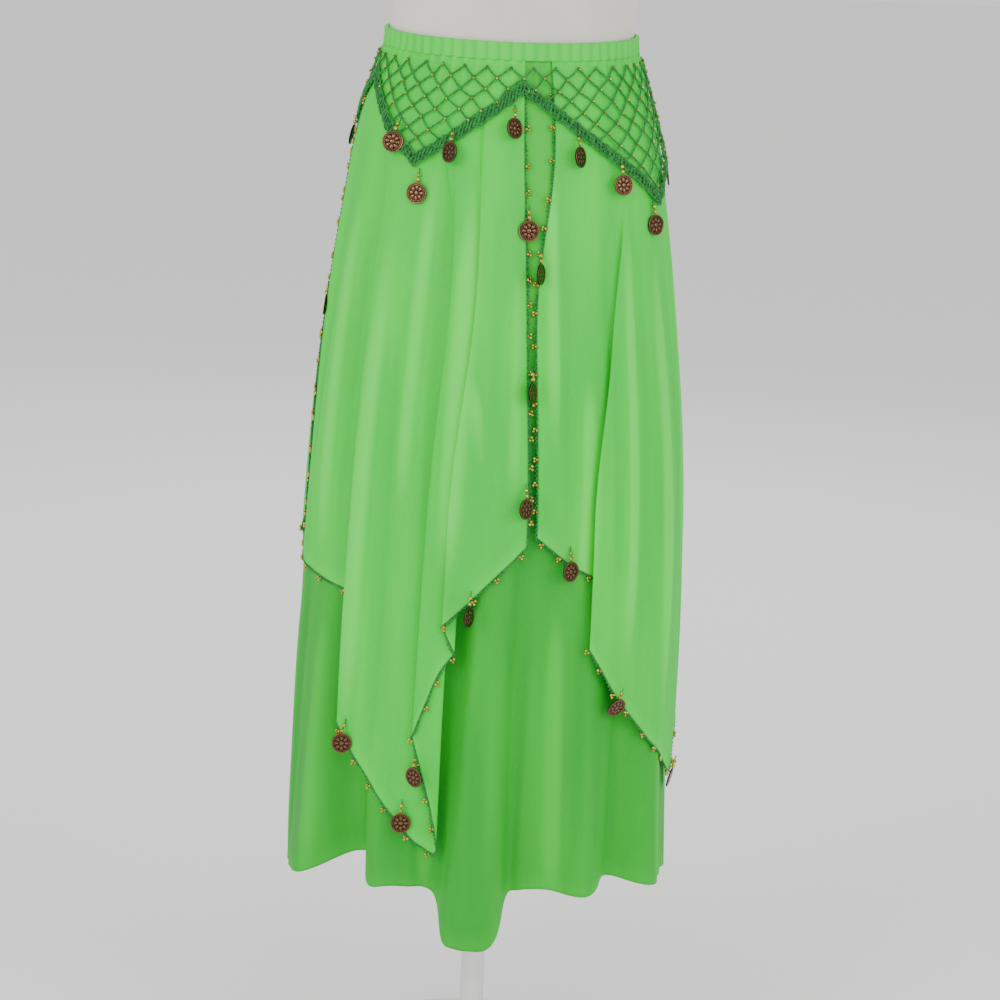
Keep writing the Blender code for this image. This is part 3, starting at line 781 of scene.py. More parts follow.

# %% [markdown]
# A panel of cloth starts as a grid whose lines hang from the waist to the hem. Subdivision
# rounds its pleats, the drape field moves the result, and a Solidify modifier gives it the
# thickness of cloth. Marks stored on the points tell the chiffon where its ridges, troughs and
# hems are: it paints a highlight on the ridges and shade in the troughs. The map holds metres
# along and across, so the crepe keeps its scale.

# %% Cloth tools
CLOTH_WALL = 0.5 * MM
FINE_STRETCH = 3.2
HIP_DROPS = (-0.0015, 0.006, 0.018, 0.030, 0.045, 0.063, 0.085, 0.108, 0.130, 0.150, 0.168, 0.190)
HIP_DROPS += (0.210, 0.245, 0.285, 0.325, 0.375, 0.430)
HEM_SHARES = (0.16, 0.33, 0.50, 0.66, 0.80, 0.90, 0.965, 1.0)
HEM_REACH = 0.03
ROOT = "root"


def drops_to(hem):
    """Drops of a line of cloth, closer together over the hips and at the hem."""
    last = HIP_DROPS[-1]
    return list(HIP_DROPS) + [last + (hem - last) * share for share in HEM_SHARES]


def link(name, data, *finishes):
    """Puts finished mesh data in the scene as a piece that rides on the part."""
    for finish in finishes:
        data.materials.append(finish)
    piece = bpy.data.objects.new(name, data)
    bpy.context.scene.collection.objects.link(piece)
    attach(piece, ROOT)
    return piece


def baked(piece):
    """The mesh that a piece's modifiers make, as plain data."""
    depsgraph = bpy.context.evaluated_depsgraph_get()
    data = bpy.data.meshes.new_from_object(piece.evaluated_get(depsgraph))
    bpy.data.objects.remove(piece)
    return data


def points_of(data):
    """The points of a mesh as an array."""
    points = np.empty(len(data.vertices) * 3)
    data.vertices.foreach_get("co", points)
    return points.reshape(-1, 3)


def mark_points(data, name, values):
    """Stores a number for each point of a mesh."""
    data.attributes.new(name, "FLOAT", "POINT").data.foreach_set("value", np.asarray(values, dtype=np.float32))


def cloth(name, lines, hems, finish, own_creases=()):
    """A piece of chiffon through lines of points that run down it, one for each station."""
    across, down = len(lines), len(lines[0])
    mesh = bmesh.new()
    bmesh.ops.create_grid(mesh, x_segments=across - 1, y_segments=down - 1, size=1, calc_uvs=True)
    mesh.verts.ensure_lookup_table()
    near_hem = mesh.verts.layers.float.new("hem")
    spans = [0.0]
    for line, after in zip(lines, lines[1:]):
        spans.append(spans[-1] + (after[-1] - line[-1]).to_2d().length)
    uv = mesh.loops.layers.uv.verify()
    for number, vertex in enumerate(mesh.verts):
        line, row = number % across, number // across
        vertex.co = lines[line][row]
        drop = drops_to(hems[line])[row]
        vertex[near_hem] = max(0.0, 1 - (hems[line] - drop) / HEM_REACH)
        for loop in vertex.link_loops:
            loop[uv].uv = (spans[line], drop)
    bmesh.ops.recalc_face_normals(mesh, faces=mesh.faces)
    rough = bpy.data.meshes.new(name)
    mesh.to_mesh(rough)
    mesh.free()
    rough.shade_smooth()
    piece = bpy.data.objects.new(name, rough)
    bpy.context.scene.collection.objects.link(piece)
    rounding = piece.modifiers.new("rounding", "SUBSURF")
    rounding.levels = rounding.render_levels = 2
    rounding.boundary_smooth = "PRESERVE_CORNERS"
    data = baked(piece)
    points = points_of(data)
    angle, drop, outward = where_is(points)
    move = drape(angle, drop) + creases(own_creases, angle, drop) * MM
    points += outward * move[:, None]
    data.vertices.foreach_set("co", points.ravel())
    data.update()
    # Marks for painted highlight on ridges and painted shade in troughs, from the creases and gathers.
    height = creases(CREASES, angle, drop) + creases(own_creases, angle, drop)
    height += 1.2 * gather_ridges(angle, drop)
    mark_points(data, "ridge", np.clip(height / 2.4, 0, 1))
    mark_points(data, "trough_shade", np.clip(-height / 2.4, 0, 1))
    piece = link(name, data, finish)
    wall = piece.modifiers.new("wall", "SOLIDIFY")
    wall.thickness = CLOTH_WALL
    wall.offset = 0.0
    return piece


def area_of(piece):
    """The area of a sheet before it has its thickness."""
    return sum(face.area for face in piece.data.polygons)


# %% Wave lines


def wave_point(wave, drop):
    """A point of a wave at a drop: folds lean most half way down."""
    angle, out_mm, hem, growth, lean = wave
    share = max(drop, 0) / hem
    return place(angle + lean * 4 * share * (1 - share), drop, out_mm * MM * share ** growth)


# %% [markdown]
# The underskirt is cut in two, front and back, and sewn at the sides. Its hem waves, with one
# deep fold at the middle of the front that hangs lower than the rest.

# %% Underskirt
under = {}
for name, waves in (("underskirt_front", front_waves()), ("underskirt_back", back_waves())):
    lines = [[wave_point(wave, drop) for drop in drops_to(wave[2])] for wave in waves]
    piece = cloth("chiffon_" + name, lines, [wave[2] for wave in waves], under_finish, UNDER_CREASES)
    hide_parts(name)
    under[name] = piece
    print(name, "area", round(area_of(piece), 3), "m2")

# %% [markdown]
# The overlay is three handkerchief panels with points. Pleats turn under and come back out, so a
# panel's lines fold over each other from the hip down. More lines than in the solid keep the
# folds round.

# %% Overlay panels


def panel_lines(rows, first, last):
    """Lines of points down a panel, and the drop of the hem at each."""
    stations = panel_stations(rows)
    reach = [station[1] for station in stations]
    shares = top_shares(stations)
    lines, hems = [], []
    for number, (before, after) in enumerate(zip(stations, stations[1:])):
        pieces = max(1, math.ceil(abs(reach[number + 1] - reach[number]) / FINE_STRETCH))
        begin = 0 if number == 0 else 1
        for piece in range(begin, pieces + 1):
            part = piece / pieces
            station = before + (after - before) * part
            share = shares[number] + (shares[number + 1] - shares[number]) * part
            line = []
            for drop in drops_to(station[4]):
                angle, lift = pleated(station, first + (last - first) * share, drop)
                line.append(place(angle, drop, lift))
            lines.append(line)
            hems.append(station[4])
    return lines, hems


overlay = {}
for name, rows, first, last in OVERLAY_PANELS:
    lines, hems = panel_lines(rows, first, last)
    piece = cloth("chiffon_" + name, lines, hems, overlay_finish)
    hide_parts(name)
    overlay[name] = piece
    print(name, "area", round(area_of(piece), 3), "m2,", len(piece.data.polygons), "faces")

# %% [markdown]
# The waistband is a casing of the same chiffon over a wide elastic. The elastic pulls it into
# close upright gathers that differ a little from each other. A grid is wrapped round the waist,
# so that its rows go up the outside, over the top and down the inside.

# %% Waistband
BAND_HEIGHT = 0.018
BAND_THICKNESS = 4.2 * MM
BAND_STEPS = GATHERS * 8
BAND_PROFILE = (
    (-0.1, 0.02),
    (0.10, 0.12),
    (0.0, 0.30),
    (0.12, 0.50),
    (0.12, 0.70),
    (0.02, 0.88),
    (0.10, 0.96),
    (0.35, 1.0),
    (0.65, 1.0),
    (0.90, 0.96),
    (1.0, 0.5),
    (0.95, 0.02),
)


def waistband():
    """The gathered casing."""
    random.seed(11)
    mesh = bmesh.new()
    rows = len(BAND_PROFILE)
    bmesh.ops.create_grid(mesh, x_segments=BAND_STEPS, y_segments=rows, size=1, calc_uvs=True)
    mesh.verts.ensure_lookup_table()
    depths = [random.uniform(0.5, 1.0) for _ in range(GATHERS)]
    leans = [random.uniform(-0.8, 0.8) for _ in range(GATHERS)]
    # Marks for painted highlight on the gathers' crests and painted shade between them.
    gather_highlight = mesh.verts.layers.float.new("ridge")
    gather_shade = mesh.verts.layers.float.new("trough_shade")
    for number, vertex in enumerate(mesh.verts):
        step, row = number % (BAND_STEPS + 1), number // (BAND_STEPS + 1)
        inward, up = BAND_PROFILE[row % rows]
        gather = step * GATHERS // BAND_STEPS % GATHERS
        phase = (step % BAND_STEPS) * GATHERS / BAND_STEPS % 1
        wave = math.sin(math.pi * phase) ** 0.7
        inner = inward > 0.7
        ridge = 0.0 if inner else 1.1 * MM * depths[gather] * wave
        outer = OVERLAY_BASE + CHIFFON / 2 - 0.25 * MM
        lift = outer + ridge - inward * (BAND_THICKNESS - 0.5 * MM)
        angle = 360 * (step % BAND_STEPS) / BAND_STEPS + leans[gather] * up * math.sin(math.pi * phase)
        vertex.co = place(angle, -BAND_HEIGHT * up - 0.3 * MM, lift)
        vertex[gather_highlight] = 0.0 if inner else 0.5 * wave
        vertex[gather_shade] = 1 - wave
    bmesh.ops.remove_doubles(mesh, verts=mesh.verts, dist=1e-6)
    bmesh.ops.recalc_face_normals(mesh, faces=mesh.faces)
    data = bpy.data.meshes.new("chiffon_waistband")
    mesh.to_mesh(data)
    mesh.free()
    data.shade_smooth()
    piece = link("chiffon_waistband", data, overlay_finish)
    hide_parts("waistband")
    return piece


band = waistband()
print("waistband", len(band.data.polygons), "faces")

# %% [markdown]
# Crochet is yarn that winds round itself. Each strand here is two plies that twist along a path:
# a curve with a round bevel for each ply, turned into one mesh. Beads are small round balls.

# %% Yarn and beads
PLY_RADIUS = 0.68 * MM
PLY_TWIST = 5.0 * MM


def yarn_mesh(name, paths, radius=PLY_RADIUS, sides=1):
    """One mesh of round plies along many paths of points."""
    curve = bpy.data.curves.new(name, "CURVE")
    curve.dimensions = "3D"
    curve.bevel_depth = radius
    curve.bevel_resolution = sides
    curve.use_fill_caps = True
    for path in paths:
        spline = curve.splines.new("POLY")
        spline.points.add(len(path) - 1)
        for point, place_at in zip(spline.points, path):
            point.co = (*place_at, 1.0)
    maker = bpy.data.objects.new(name, curve)
    bpy.context.scene.collection.objects.link(maker)
    data = baked(maker)
    bpy.data.curves.remove(curve)
    data.shade_smooth()
    return data


def twisted(path, out, step=1.8 * MM, swing=0.6 * MM, twist=PLY_TWIST):
    """Two plies that wind round a path of points, which lies on a surface that faces out."""
    points = np.array([tuple(point) for point in path])
    spans = np.concatenate([[0], np.cumsum(np.linalg.norm(np.diff(points, axis=0), axis=1))])
    count = max(2, int(spans[-1] / step) + 1)
    even = np.linspace(0, spans[-1], count)
    smooth_path = np.stack([np.interp(even, spans, points[:, axis]) for axis in range(3)], axis=1)
    along = np.gradient(smooth_path, axis=0)
    along /= np.linalg.norm(along, axis=1)[:, None] + 1e-12
    side = np.cross(along, np.array(tuple(out)))
    side /= np.linalg.norm(side, axis=1)[:, None] + 1e-12
    up = np.cross(side, along)
    phase = 2 * math.pi * even / twist
    plies = []
    for turn in (0, math.pi):
        wind = np.cos(phase + turn)[:, None] * side + np.sin(phase + turn)[:, None] * up
        plies.append(smooth_path + wind * swing)
    return plies


def bead_mesh(name, beads, rounds=2):
    """Many small balls, given as places and radii, in one mesh."""
    mesh = bmesh.new()
    for centre, radius in beads:
        spot = Matrix.Translation(centre)
        bmesh.ops.create_icosphere(mesh, subdivisions=rounds, radius=radius, matrix=spot)
    data = bpy.data.meshes.new(name)
    mesh.to_mesh(data)
    mesh.free()
    data.shade_smooth()
    return data


# %% [markdown]
# The hip scarf is a net of open diamonds that ends in a thick zigzag border. The net's corners
# are nudged a little, because hand work is never even. A strand that meets the border is cut
# there. The border is crocheted in waves between two edges, and gold beads sit on the knots.

# %% Hip scarf
SCARF_LIFT = 2.2 * MM
BORDER_WIDTH = 11.5 * MM
KNOT_RADIUS = 1.9 * MM
KNOT_BEAD = 1.35 * MM
NET_TRIM = 0.6
BORDER_LOOPS = 118


def scarf_place(angle, drop, lift=0.0):
    """A point just over the outermost layer of the overlay, moved with the drape."""
    base = outermost(angle, drop) + CHIFFON / 2 + SCARF_LIFT
    return draped(angle, drop, base + lift)


def outward_at(angle, drop):
    """The direction straight out of the skirt."""
    return place(angle, drop, 1.0) - place(angle, drop)


def net_corner(step, row):
    """Angle and drop of a net corner, nudged a little."""
    random.seed(step * 97 + row * 13 + 5)
    angle = step * NET_PITCH / 2 + random.uniform(-0.8, 0.8)
    return angle, NET_TOP + row * NET_ROW + random.uniform(-1.6, 1.6) * MM * (row > 0)


def border_top(angle):
    """Drop where the border starts."""
    return net_edge(angle) - BORDER_WIDTH


def strand(first, second):
    """A strand between two net corners, cut where it meets the border, or None."""
    (angle_a, drop_a), (angle_b, drop_b) = first, second
    if drop_a > border_top(angle_a):
        return None
    share = 1.0
    for trial in range(1, 13):
        part = trial / 12
        if drop_a + (drop_b - drop_a) * part > border_top(angle_a + (angle_b - angle_a) * part) + NET_TRIM * MM:
            share = part
            break
    pieces = 4
    path = []
    for number in range(pieces + 1):
        part = share * number / pieces
        sag = 0.5 * MM * math.sin(math.pi * number / pieces)
        path.append(scarf_place(angle_a + (angle_b - angle_a) * part, drop_a + (drop_b - drop_a) * part + sag))
    return path


def border_paths(first, last):
    """Cords of the border: chains along it and loops that cross between them."""
    paths = []
    for number, inset in enumerate((0.0, 0.34, 0.68, 1.0)):
        path = []
        for angle in np.arange(first, last + 0.01, 0.45):
            turn = math.radians(angle)
            wave = 0.7 * MM * math.sin(61 * turn + number * 2.1) + 0.5 * MM * math.sin(149 * turn + number)
            hump = 0.5 * MM * math.sin(97 * turn + number * 1.7)
            path.append(scarf_place(angle, net_edge(angle) - BORDER_WIDTH * inset + wave, 0.5 * MM + hump))
        paths.append(path)
    for number, phase in enumerate((0.0, math.pi)):
        path = []
        for angle in np.arange(first, last + 0.01, 0.25):
            turn = math.radians(angle)
            loop = BORDER_LOOPS * turn + phase + 0.6 * math.sin(23 * turn)
            reach = 0.5 + (0.5 + 0.12 * math.sin(41 * turn + number)) * math.sin(loop)
            hump = 1.2 * MM * math.cos(loop)
            path.append(scarf_place(angle, net_edge(angle) - BORDER_WIDTH * reach, 0.5 * MM + hump))
        paths.append(path)
    return paths


def hip_scarf(name, centre):
    """Half of the scarf: net, border, knots and beads."""
    plies, knots, beads = [], [], []
    first_step = round((centre - 90) * 2 / NET_PITCH)
    for step in range(first_step, first_step + NET_STEPS // 2):
        for row in range(NET_ROWS + 1):
            if (step + row) % 2:
                continue
            here = net_corner(step, row)
            if here[1] > border_top(here[0]):
                continue
            for aside in (-1, 1):
                path = strand(here, net_corner(step + aside, row + 1))
                if path:
                    plies += twisted(path, outward_at(*here))
            knots.append((scarf_place(*here), KNOT_RADIUS))
            random.seed(step * 31 + row * 7)
            if random.random() < 0.8:
                beads.append((scarf_place(here[0] + 0.25, here[1] + 0.6 * MM, 1.9 * MM), KNOT_BEAD))
    for path in border_paths(centre - 90, centre + 90):
        plies += twisted(path, outward_at(centre, 0.05), step=1.8 * MM)
    data = yarn_mesh(name, plies)
    piece = link(name, data, yarn_green)
    knot_piece = link(name + "_knots", bead_mesh(name + "_knots", knots, 1), yarn_green)
    bead_piece = link(name + "_beads", bead_mesh(name + "_beads", beads), bead_gold)
    print(name, len(plies), "plies,", len(beads), "beads,", len(data.polygons), "faces")
    return piece


for node, centre in (("scarf_front", 0), ("scarf_back", 180)):
    hip_scarf("crochet_" + node, centre)
    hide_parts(node)

# %% [markdown]
# Each panel's cut edge is finished with a crocheted edging: a cord along the edge, small loops
# that reach off it, and every few centimetres three gold beads. The edge is read off the finished
# panel by walking round its border, so the edging follows every pleat.

# %% Edging
EDGING_PLY = 0.62 * MM
EDGING_REACH = 2.4 * MM
EDGING_LOOP = 4.6 * MM
EDGING_STEP = 1.05 * MM
BEAD_SPACING = 31 * MM
EDGING_BEAD = 1.6 * MM
HIDDEN_DROP = 0.020


def cut_edge(data):
    """Places, surface directions and off-edge directions along a panel's sides and hem."""
    mesh = bmesh.new()
    mesh.from_mesh(data)
    below = WAIST_HEIGHT - HIDDEN_DROP
    rim = {}
    for edge in mesh.edges:
        if edge.is_boundary and all(vertex.co.z < below for vertex in edge.verts):
            for vertex in edge.verts:
                rim.setdefault(vertex, []).append(edge)
    here = next(vertex for vertex, edges in rim.items() if len(edges) == 1)
    seen, rows = set(), []
    while here is not None:
        seen.add(here)
        middle_point = sum((face.calc_center_median() for face in here.link_faces), Vector()) / len(here.link_faces)
        rows.append((*here.co, *here.normal, *(here.co - middle_point)))
        ahead = [edge.other_vert(here) for edge in rim[here] if edge.other_vert(here) not in seen]
        here = ahead[0] if ahead else None
    mesh.free()
    rows = np.array(rows)
    spans = np.concatenate([[0], np.cumsum(np.linalg.norm(np.diff(rows[:, :3], axis=0), axis=1))])
    even = np.arange(0, spans[-1], EDGING_STEP)
    rows = np.stack([np.interp(even, spans, rows[:, number]) for number in range(9)], axis=1)
    place_at, normal, away = rows[:, :3], rows[:, 3:6], rows[:, 6:]
    outward = where_is(place_at)[2]
    flip = np.sign((normal * outward).sum(axis=1))
    normal = normal * np.where(flip == 0, 1, flip)[:, None]
    normal /= np.linalg.norm(normal, axis=1)[:, None]
    along = np.gradient(place_at, axis=0)
    along /= np.linalg.norm(along, axis=1)[:, None]
    away -= (away * along).sum(axis=1)[:, None] * along
    away -= (away * normal).sum(axis=1)[:, None] * normal
    away /= np.linalg.norm(away, axis=1)[:, None] + 1e-9
    return even, place_at, normal, away


def edging(name, panel, seed):
    """The crocheted edging of one panel, with its beads."""
    random.seed(seed)
    even, place_at, normal, away = cut_edge(panel.data)
    phase = 2 * math.pi * even / EDGING_LOOP
    roll = 2 * math.pi * even / 3.1 * 1000
    core = place_at + away * (0.2 * MM + 0.35 * MM * np.cos(roll))[:, None] + normal * (0.35 * MM * np.sin(roll))[:, None]
    uneven = 0.7 + 0.3 * np.sin(even * 190 + seed)
    loops = place_at + away * ((0.9 * MM + EDGING_REACH * 0.5 * (1 + np.sin(phase))) * uneven)[:, None]
    loops += normal * (0.9 * MM * np.cos(phase))[:, None]
    cord = link(name, yarn_mesh(name, [core, loops], EDGING_PLY), yarn_green)
    beads = []
    spot = random.uniform(0.3, 0.7) * BEAD_SPACING
    while spot < even[-1]:
        number = int(spot / EDGING_STEP)
        if number >= len(even) - 4:
            break
        step_along = place_at[number + 3] - place_at[number]
        step_along /= np.linalg.norm(step_along) + 1e-9
        base = place_at[number] + away[number] * 2.6 * MM + normal[number] * 1.2 * MM
        lean = random.uniform(-0.5, 0.5)
        hang = away[number] * 0.6 + np.array((0, 0, -0.8)) + step_along * lean
        hang /= np.linalg.norm(hang)
        beside = np.cross(hang, normal[number])
        for sideways, down in ((-0.5, 0.0), (0.5, 0.15), (0.05, 0.95)):
            reach = (beside * sideways + hang * down) * 3.2 * MM
            size = EDGING_BEAD * random.uniform(0.85, 1.1)
            beads.append((Vector(base + reach), size))
        spot += BEAD_SPACING * random.uniform(0.75, 1.3)
    bead_piece = link(name + "_beads", bead_mesh(name + "_beads", beads), bead_gold)
    print(name, "length", round(float(even[-1]), 3), "m,", len(beads), "beads,", len(cord.data.polygons), "faces")
    return cord, bead_piece


for seed, (name, panel) in enumerate(overlay.items()):
    edging("edging_" + name.split("_")[1], panel, seed + 3)

# %% [markdown]
# The coins are struck sheet: a raised rim, a ring of dots' worth of groove, a rosette of petals
# and a boss in the middle, the same kind of plain ornament on both faces. One profile is spun
# round, then the points between two radii rise and fall with the angle to make the petals.
# A coin hangs from two gold beads on a loop of yarn, and some coins have swung round.

# %% Coins
COIN_RADIUS = 10.5 * MM
COIN_THICKNESS = 1.6 * MM
BEAD_RADIUS = 2.3 * MM
COIN_REACH = 4
COIN_COLUMNS = ("name", "angle", "drop", "out_mm")
SCARF_COINS = (
    ("coin_scarf_1", -43.5, 0.066, 0.00),
    ("coin_scarf_2", -31.5, 0.112, -3.70),
    ("coin_scarf_3", -20, 0.070, 0.00),
    ("coin_scarf_4", 2.5, 0.045, -4.40),
    ("coin_scarf_5", 27, 0.071, -3.50),
    ("coin_scarf_6", 44, 0.098, -0.20),
    ("coin_scarf_7", 62, 0.141, -4.90),
    ("coin_scarf_8", 88, 0.099, -0.90),
    ("coin_scarf_9", 108, 0.058, -0.30),
    ("coin_scarf_10", 140, 0.064, -0.20),
    ("coin_scarf_11", 160, 0.103, -0.60),
    ("coin_scarf_12", 181, 0.062, -0.20),
    ("coin_scarf_13", 220, 0.073, -0.90),
    ("coin_scarf_14", 242, 0.116, -3.30),
    ("coin_scarf_15", 264, 0.074, -0.30),
)
SLIT_COINS = (
    ("coin_slit_1", 8.5, 0.142, -3.50),
    ("coin_slit_2", 10.5, 0.300, -5.20),
    ("coin_slit_3", 9.5, 0.414, -5.60),
    ("coin_slit_4", 143.5, 0.190, 0.20),
    ("coin_slit_5", 144, 0.350, -0.90),
    ("coin_slit_6", 272.5, 0.245, -0.40),
    ("coin_slit_7", 12.5, 0.184, -3.00),
)
HEM_COINS = (
    ("coin_hem_1", -17.5, 0.694, -0.50),
    ("coin_hem_2", -40.5, 0.672, -0.30),
    ("coin_hem_3", -21, 0.745, -0.50),
    ("coin_hem_4", -4.5, 0.522, -1.50),
    ("coin_hem_5", 24, 0.480, -9.00),
    ("coin_hem_6", 41, 0.626, 6.80),
    ("coin_hem_7", 79, 0.728, 2.20),
    ("coin_hem_8", 112, 0.580, -0.70),
    ("coin_hem_9", 176, 0.622, -0.10),
    ("coin_hem_10", 209, 0.742, 5.80),
    ("coin_hem_11", 244, 0.560, -0.90),
)

SWUNG = {
    "coin_scarf_1": 30,
    "coin_scarf_2": 6,
    "coin_scarf_3": -33,
    "coin_scarf_4": 42,
    "coin_scarf_5": 40,
    "coin_scarf_6": -6,
    "coin_scarf_7": -13,
    "coin_scarf_9": -30,
    "coin_scarf_12": 24,
    "coin_scarf_14": -18,
    "coin_slit_2": 60,
    "coin_slit_3": 45,
    "coin_slit_5": -35,
    "coin_slit_7": 60,
    "coin_hem_1": -25,
    "coin_hem_2": 35,
    "coin_hem_3": 18,
    "coin_hem_4": 66,
    "coin_hem_5": 24,
    "coin_hem_8": -25,
    "coin_hem_11": 20,
}
COIN_PROFILE = (
    (0.0, 0.95),
    (1.3, 0.90),
    (2.1, 0.55),
    (2.6, 0.42),
    (3.4, 0.55),
    (4.6, 0.66),
    (5.8, 0.66),
    (6.9, 0.52),
    (7.4, 0.40),
    (7.9, 0.62),
    (8.4, 0.62),
    (8.8, 0.42),
    (9.3, 0.60),
    (9.8, 0.85),
    (10.3, 0.78),
    (10.5, 0.40),
)
COIN_STEPS = 48
PETALS = 8
PETAL_RISE = 0.24 * MM


def struck_coin(mesh):
    """Adds a coin round the origin, with its faces along Z."""
    up = [Vector((radius * MM, 0, height * MM)) for radius, height in COIN_PROFILE]
    profile = up + [Vector((point.x, 0, -point.z)) for point in reversed(up)]
    points = [mesh.verts.new(point) for point in profile]
    edges = [mesh.edges.new(pair) for pair in zip(points, points[1:])]
    spun = bmesh.ops.spin(
        mesh, geom=points + edges, cent=(0, 0, 0), axis=(0, 0, 1), angle=2 * math.pi,
        steps=COIN_STEPS, use_merge=True,
    )
    bmesh.ops.remove_doubles(mesh, verts=mesh.verts, dist=1e-6)
    bmesh.ops.recalc_face_normals(mesh, faces=mesh.faces)
    relief = mesh.verts.layers.float.new("relief")
    for vertex in mesh.verts:
        radius = vertex.co.to_2d().length / MM
        turn = math.atan2(vertex.co.y, vertex.co.x)
        side = 1 if vertex.co.z > 0 else -1
        petal = math.sin(math.pi * min(max((radius - 2.6) / 4.8, 0), 1)) * math.cos(PETALS * turn)
        dots = 0.5 * math.cos(24 * turn) * (7.4 < radius < 8.8)
        vertex.co.z += side * PETAL_RISE * (petal + dots)
        vertex[relief] = min(max((abs(vertex.co.z) / MM - 0.35) / 0.5, 0), 1)
    return spun


def seat_of(angle, drop, out_mm, over_net):
    """Top of a coin drop, with its directions down, sideways and out."""
    length = BEAD_RADIUS * 4.4 + COIN_RADIUS * 2
    raised = NET_LIFT - OVERLAY_BASE + NET_YARN / 2 if over_net else 0.0
    clear = CHIFFON / 2 + CLEARANCE + COIN_THICKNESS / 2 + raised + out_mm * MM
    top = draped(angle, drop, widest(angle, drop) + clear)
    bottom = draped(angle, drop + length, widest(angle, drop + length) + clear)
    down = (bottom - top).normalized()
    side = place(angle + COIN_REACH, drop) - place(angle - COIN_REACH, drop)
    out = side.cross(down).normalized()
    if out.dot(outward_at(angle, drop)) < 0:
        out = -out
    return top, down, down.cross(out), out


def coin_piece(name, angle, drop, out_mm, over_net):
    """One coin with its beads and yarn loop."""
    top, down, side, out = seat_of(angle, drop, out_mm, over_net)
    swing = math.radians(SWUNG.get(name, 0))
    lifted = out * COIN_RADIUS * abs(math.sin(swing)) * 0.9
    centre = top + down * (BEAD_RADIUS * 4.4 + COIN_RADIUS) + lifted
    across = side * math.cos(swing) + out * math.sin(swing)
    facing = across.cross(down)
    mesh = bmesh.new()
    struck_coin(mesh)
    turn = Matrix((across, down, facing)).transposed().to_4x4()
    bmesh.ops.transform(mesh, matrix=Matrix.Translation(centre) @ turn, verts=mesh.verts)
    coin_faces = len(mesh.faces)
    for number in range(2):
        spot = top + down * (BEAD_RADIUS * (1 + 2.2 * number)) + lifted * 0.5 * (number + 1)
        ball = Matrix.Translation(spot)
        bmesh.ops.create_icosphere(mesh, subdivisions=2, radius=BEAD_RADIUS * 0.95, matrix=ball)
    mesh.faces.ensure_lookup_table()
    for face in mesh.faces:
        face.smooth = True
        face.material_index = int(face.index >= coin_faces)
    bmesh.ops.recalc_face_normals(mesh, faces=mesh.faces)
    data = bpy.data.meshes.new("drop_" + name)
    mesh.to_mesh(data)
    mesh.free()
    piece = link("drop_" + name, data, coin_bronze, bead_gold)
    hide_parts(name)
    start = top - down * 4.0 * MM
    end = centre - down * (COIN_RADIUS - 1.6 * MM)
    loop = [start, top - out * 0.3 * MM, top + down * BEAD_RADIUS * 2 + lifted * 0.6, end]
    return piece, loop


coins, coin_loops = [], []
for rows, over_net in ((SCARF_COINS, True), (SLIT_COINS + HEM_COINS, False)):
    for row in rows:
        piece, loop = coin_piece(*row, over_net)
        coins.append(piece)
        coin_loops += twisted(loop, (0.3, 0.9, 0.1), step=1.2 * MM, swing=0.35 * MM)
coin_yarn = link("coin_threads", yarn_mesh("coin_threads", coin_loops, 0.4 * MM), yarn_green)
print("coins", len(coins), "of", len(coins[0].data.polygons), "faces")

# %% [markdown]
# The dress form is a smooth moulding without limbs. Rings of points at its heights are bridged
# into a skin, a subdivision surface rounds it, and flat cuts close it at the neck and below the
# hips. The stand is a turned pole and a turned foot, each spun from a profile.

# %% Form and stand
FORM_COLUMNS = ("above_waist", "half_width", "front", "back")
FORM = (
    (-0.278, 0.1480, 0.0940, 0.1080),
    (-0.233, 0.1560, 0.1000, 0.1150),
    (-0.173, 0.1580, 0.1080, 0.1150),
    (-0.133, 0.1530, 0.1080, 0.1120),
    (-0.093, 0.1450, 0.1040, 0.1060),
    (-0.063, 0.1360, 0.0985, 0.0990),
    (-0.033, 0.1275, 0.0940, 0.0940),
    (-0.003, 0.1242, 0.0918, 0.0918),
    (0.017, 0.1234, 0.0914, 0.0914),
    (0.057, 0.1260, 0.0940, 0.0860),
    (0.127, 0.1350, 0.1060, 0.0880),
    (0.202, 0.1450, 0.1240, 0.0960),
    (0.272, 0.1560, 0.1150, 0.0990),
    (0.332, 0.1650, 0.0880, 0.0860),
    (0.369, 0.1350, 0.0660, 0.0700),
    (0.392, 0.0720, 0.0540, 0.0580),
    (0.427, 0.0560, 0.0500, 0.0520),
)
POLE_RADIUS = 0.0125
FOOT_RADIUS = 0.15
FOOT_THICKNESS = 0.012
FORM_STEPS = 40
TURNED_STEPS = 72
EDGE_ROUND = 3 * MM


def form_torso():
    """The torso: bridged rings, closed at both ends."""
    mesh = bmesh.new()
    rings = []
    for above_waist, half_width, front, back in FORM:
        made = bmesh.ops.create_circle(mesh, cap_ends=False, radius=1.0, segments=FORM_STEPS)
        for vertex in made["verts"]:
            depth = front if vertex.co.y < 0 else back
            vertex.co = Vector((vertex.co.x * half_width, vertex.co.y * depth, WAIST_HEIGHT + above_waist))
        rings.append(list({edge for vertex in made["verts"] for edge in vertex.link_edges}))
    for low, high in zip(rings, rings[1:]):
        bmesh.ops.bridge_loops(mesh, edges=low + high)
    for ring in (rings[0], rings[-1]):
        bmesh.ops.holes_fill(mesh, edges=ring, sides=FORM_STEPS)
    bmesh.ops.recalc_face_normals(mesh, faces=mesh.faces)
    caps = [face for face in mesh.faces if len(face.verts) == FORM_STEPS]
    for depth in (0.002, 0.010):
        caps = bmesh.ops.inset_region(mesh, faces=caps, thickness=depth)["faces"] and caps
    data = bpy.data.meshes.new("form_torso_smooth")
    mesh.to_mesh(data)
    mesh.free()
    data.shade_smooth()
    piece = link("form_torso_smooth", data, form_white)
    rounding = piece.modifiers.new("rounding", "SUBSURF")
    rounding.levels = rounding.render_levels = 1
    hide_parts("form_torso")
    return piece


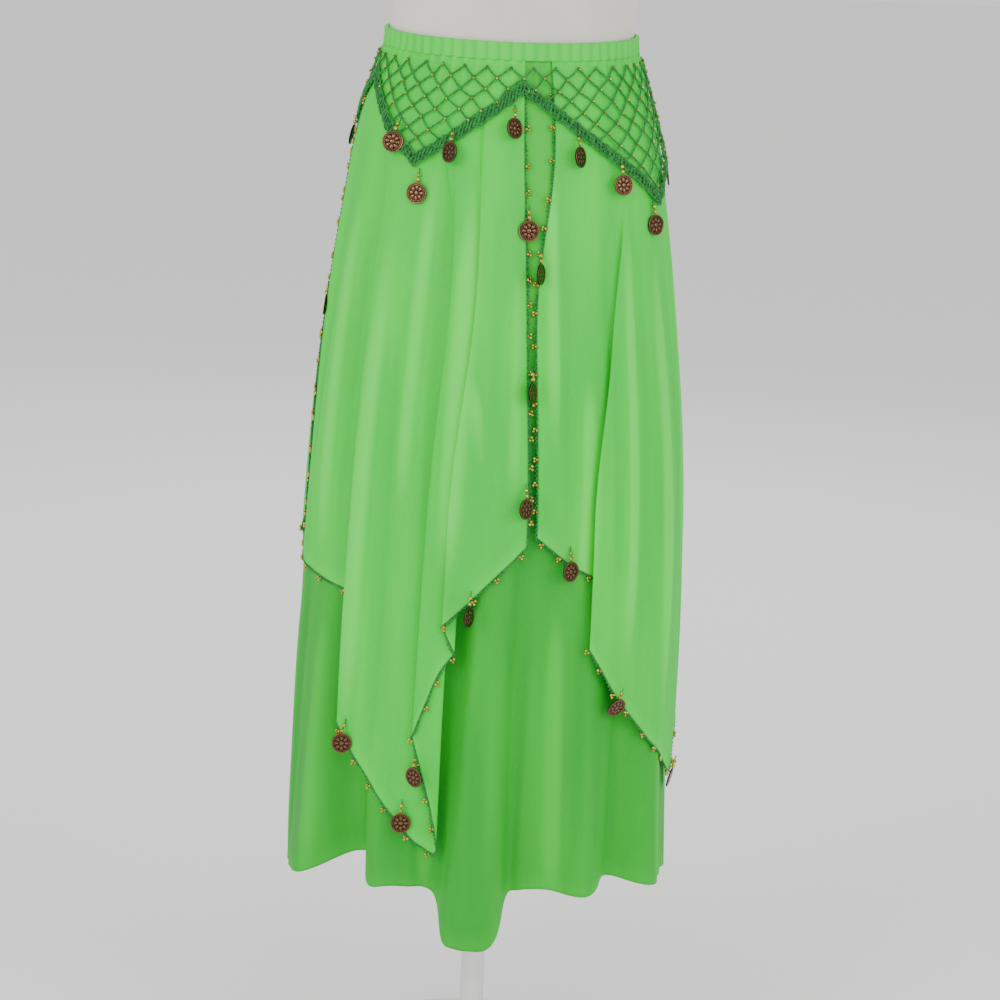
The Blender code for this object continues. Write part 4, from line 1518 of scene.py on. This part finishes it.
def turned(name, node, profile):
    """A round piece spun from radii and heights, with its ends closed."""
    mesh = bmesh.new()
    points = [mesh.verts.new(Vector((radius, 0, height))) for radius, height in profile]
    edges = [mesh.edges.new(pair) for pair in zip(points, points[1:])]
    bmesh.ops.spin(
        mesh, geom=points + edges, cent=(0, 0, 0), axis=(0, 0, 1), angle=2 * math.pi,
        steps=TURNED_STEPS, use_merge=True,
    )
    bmesh.ops.remove_doubles(mesh, verts=mesh.verts, dist=1e-6)
    bmesh.ops.recalc_face_normals(mesh, faces=mesh.faces)
    data = bpy.data.meshes.new(name)
    mesh.to_mesh(data)
    mesh.free()
    data.shade_smooth()
    data.set_sharp_from_angle(angle=math.radians(50))
    piece = link(name, data, stand_white)
    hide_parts(node)
    return piece


torso = form_torso()
form_bottom = WAIST_HEIGHT + FORM[0][0]
turned("stand_foot_turned", "stand_foot", (
    (0.0, 0.0),
    (FOOT_RADIUS - 1.5 * MM, 0.0),
    (FOOT_RADIUS, 1.5 * MM),
    (FOOT_RADIUS, FOOT_THICKNESS - EDGE_ROUND),
    (FOOT_RADIUS - 0.9 * MM, FOOT_THICKNESS - 0.9 * MM),
    (FOOT_RADIUS - EDGE_ROUND, FOOT_THICKNESS),
    (0.0, FOOT_THICKNESS),
))
pole_low = FOOT_THICKNESS + CLEARANCE
pole_high = form_bottom - CLEARANCE
turned("stand_pole_turned", "stand_pole", (
    (0.0, pole_low),
    (POLE_RADIUS - 0.8 * MM, pole_low),
    (POLE_RADIUS, pole_low + 0.8 * MM),
    (POLE_RADIUS, pole_high - 0.8 * MM),
    (POLE_RADIUS - 0.8 * MM, pole_high),
    (0.0, pole_high),
))
print("form", len(torso.data.polygons), "faces before rounding")

# %% [markdown]
# Each chiffon piece's cut is listed with its sheet size and area in a table. The sizes were
# worked out from the pieces' areas and from how such a skirt is cut: flared underskirt halves,
# and squares of cloth hung by a gathered edge.

# %% Sheets
SHEETS = (
    ("underskirt_front", (0.66, 0.87), 0.47),
    ("underskirt_back", (0.64, 0.86), 0.46),
    ("overlay_front", (0.44, 0.80), 0.24),
    ("overlay_right", (0.46, 0.75), 0.25),
    ("overlay_left", (0.48, 0.76), 0.27),
)
for name, flat, area in SHEETS:
    name in under
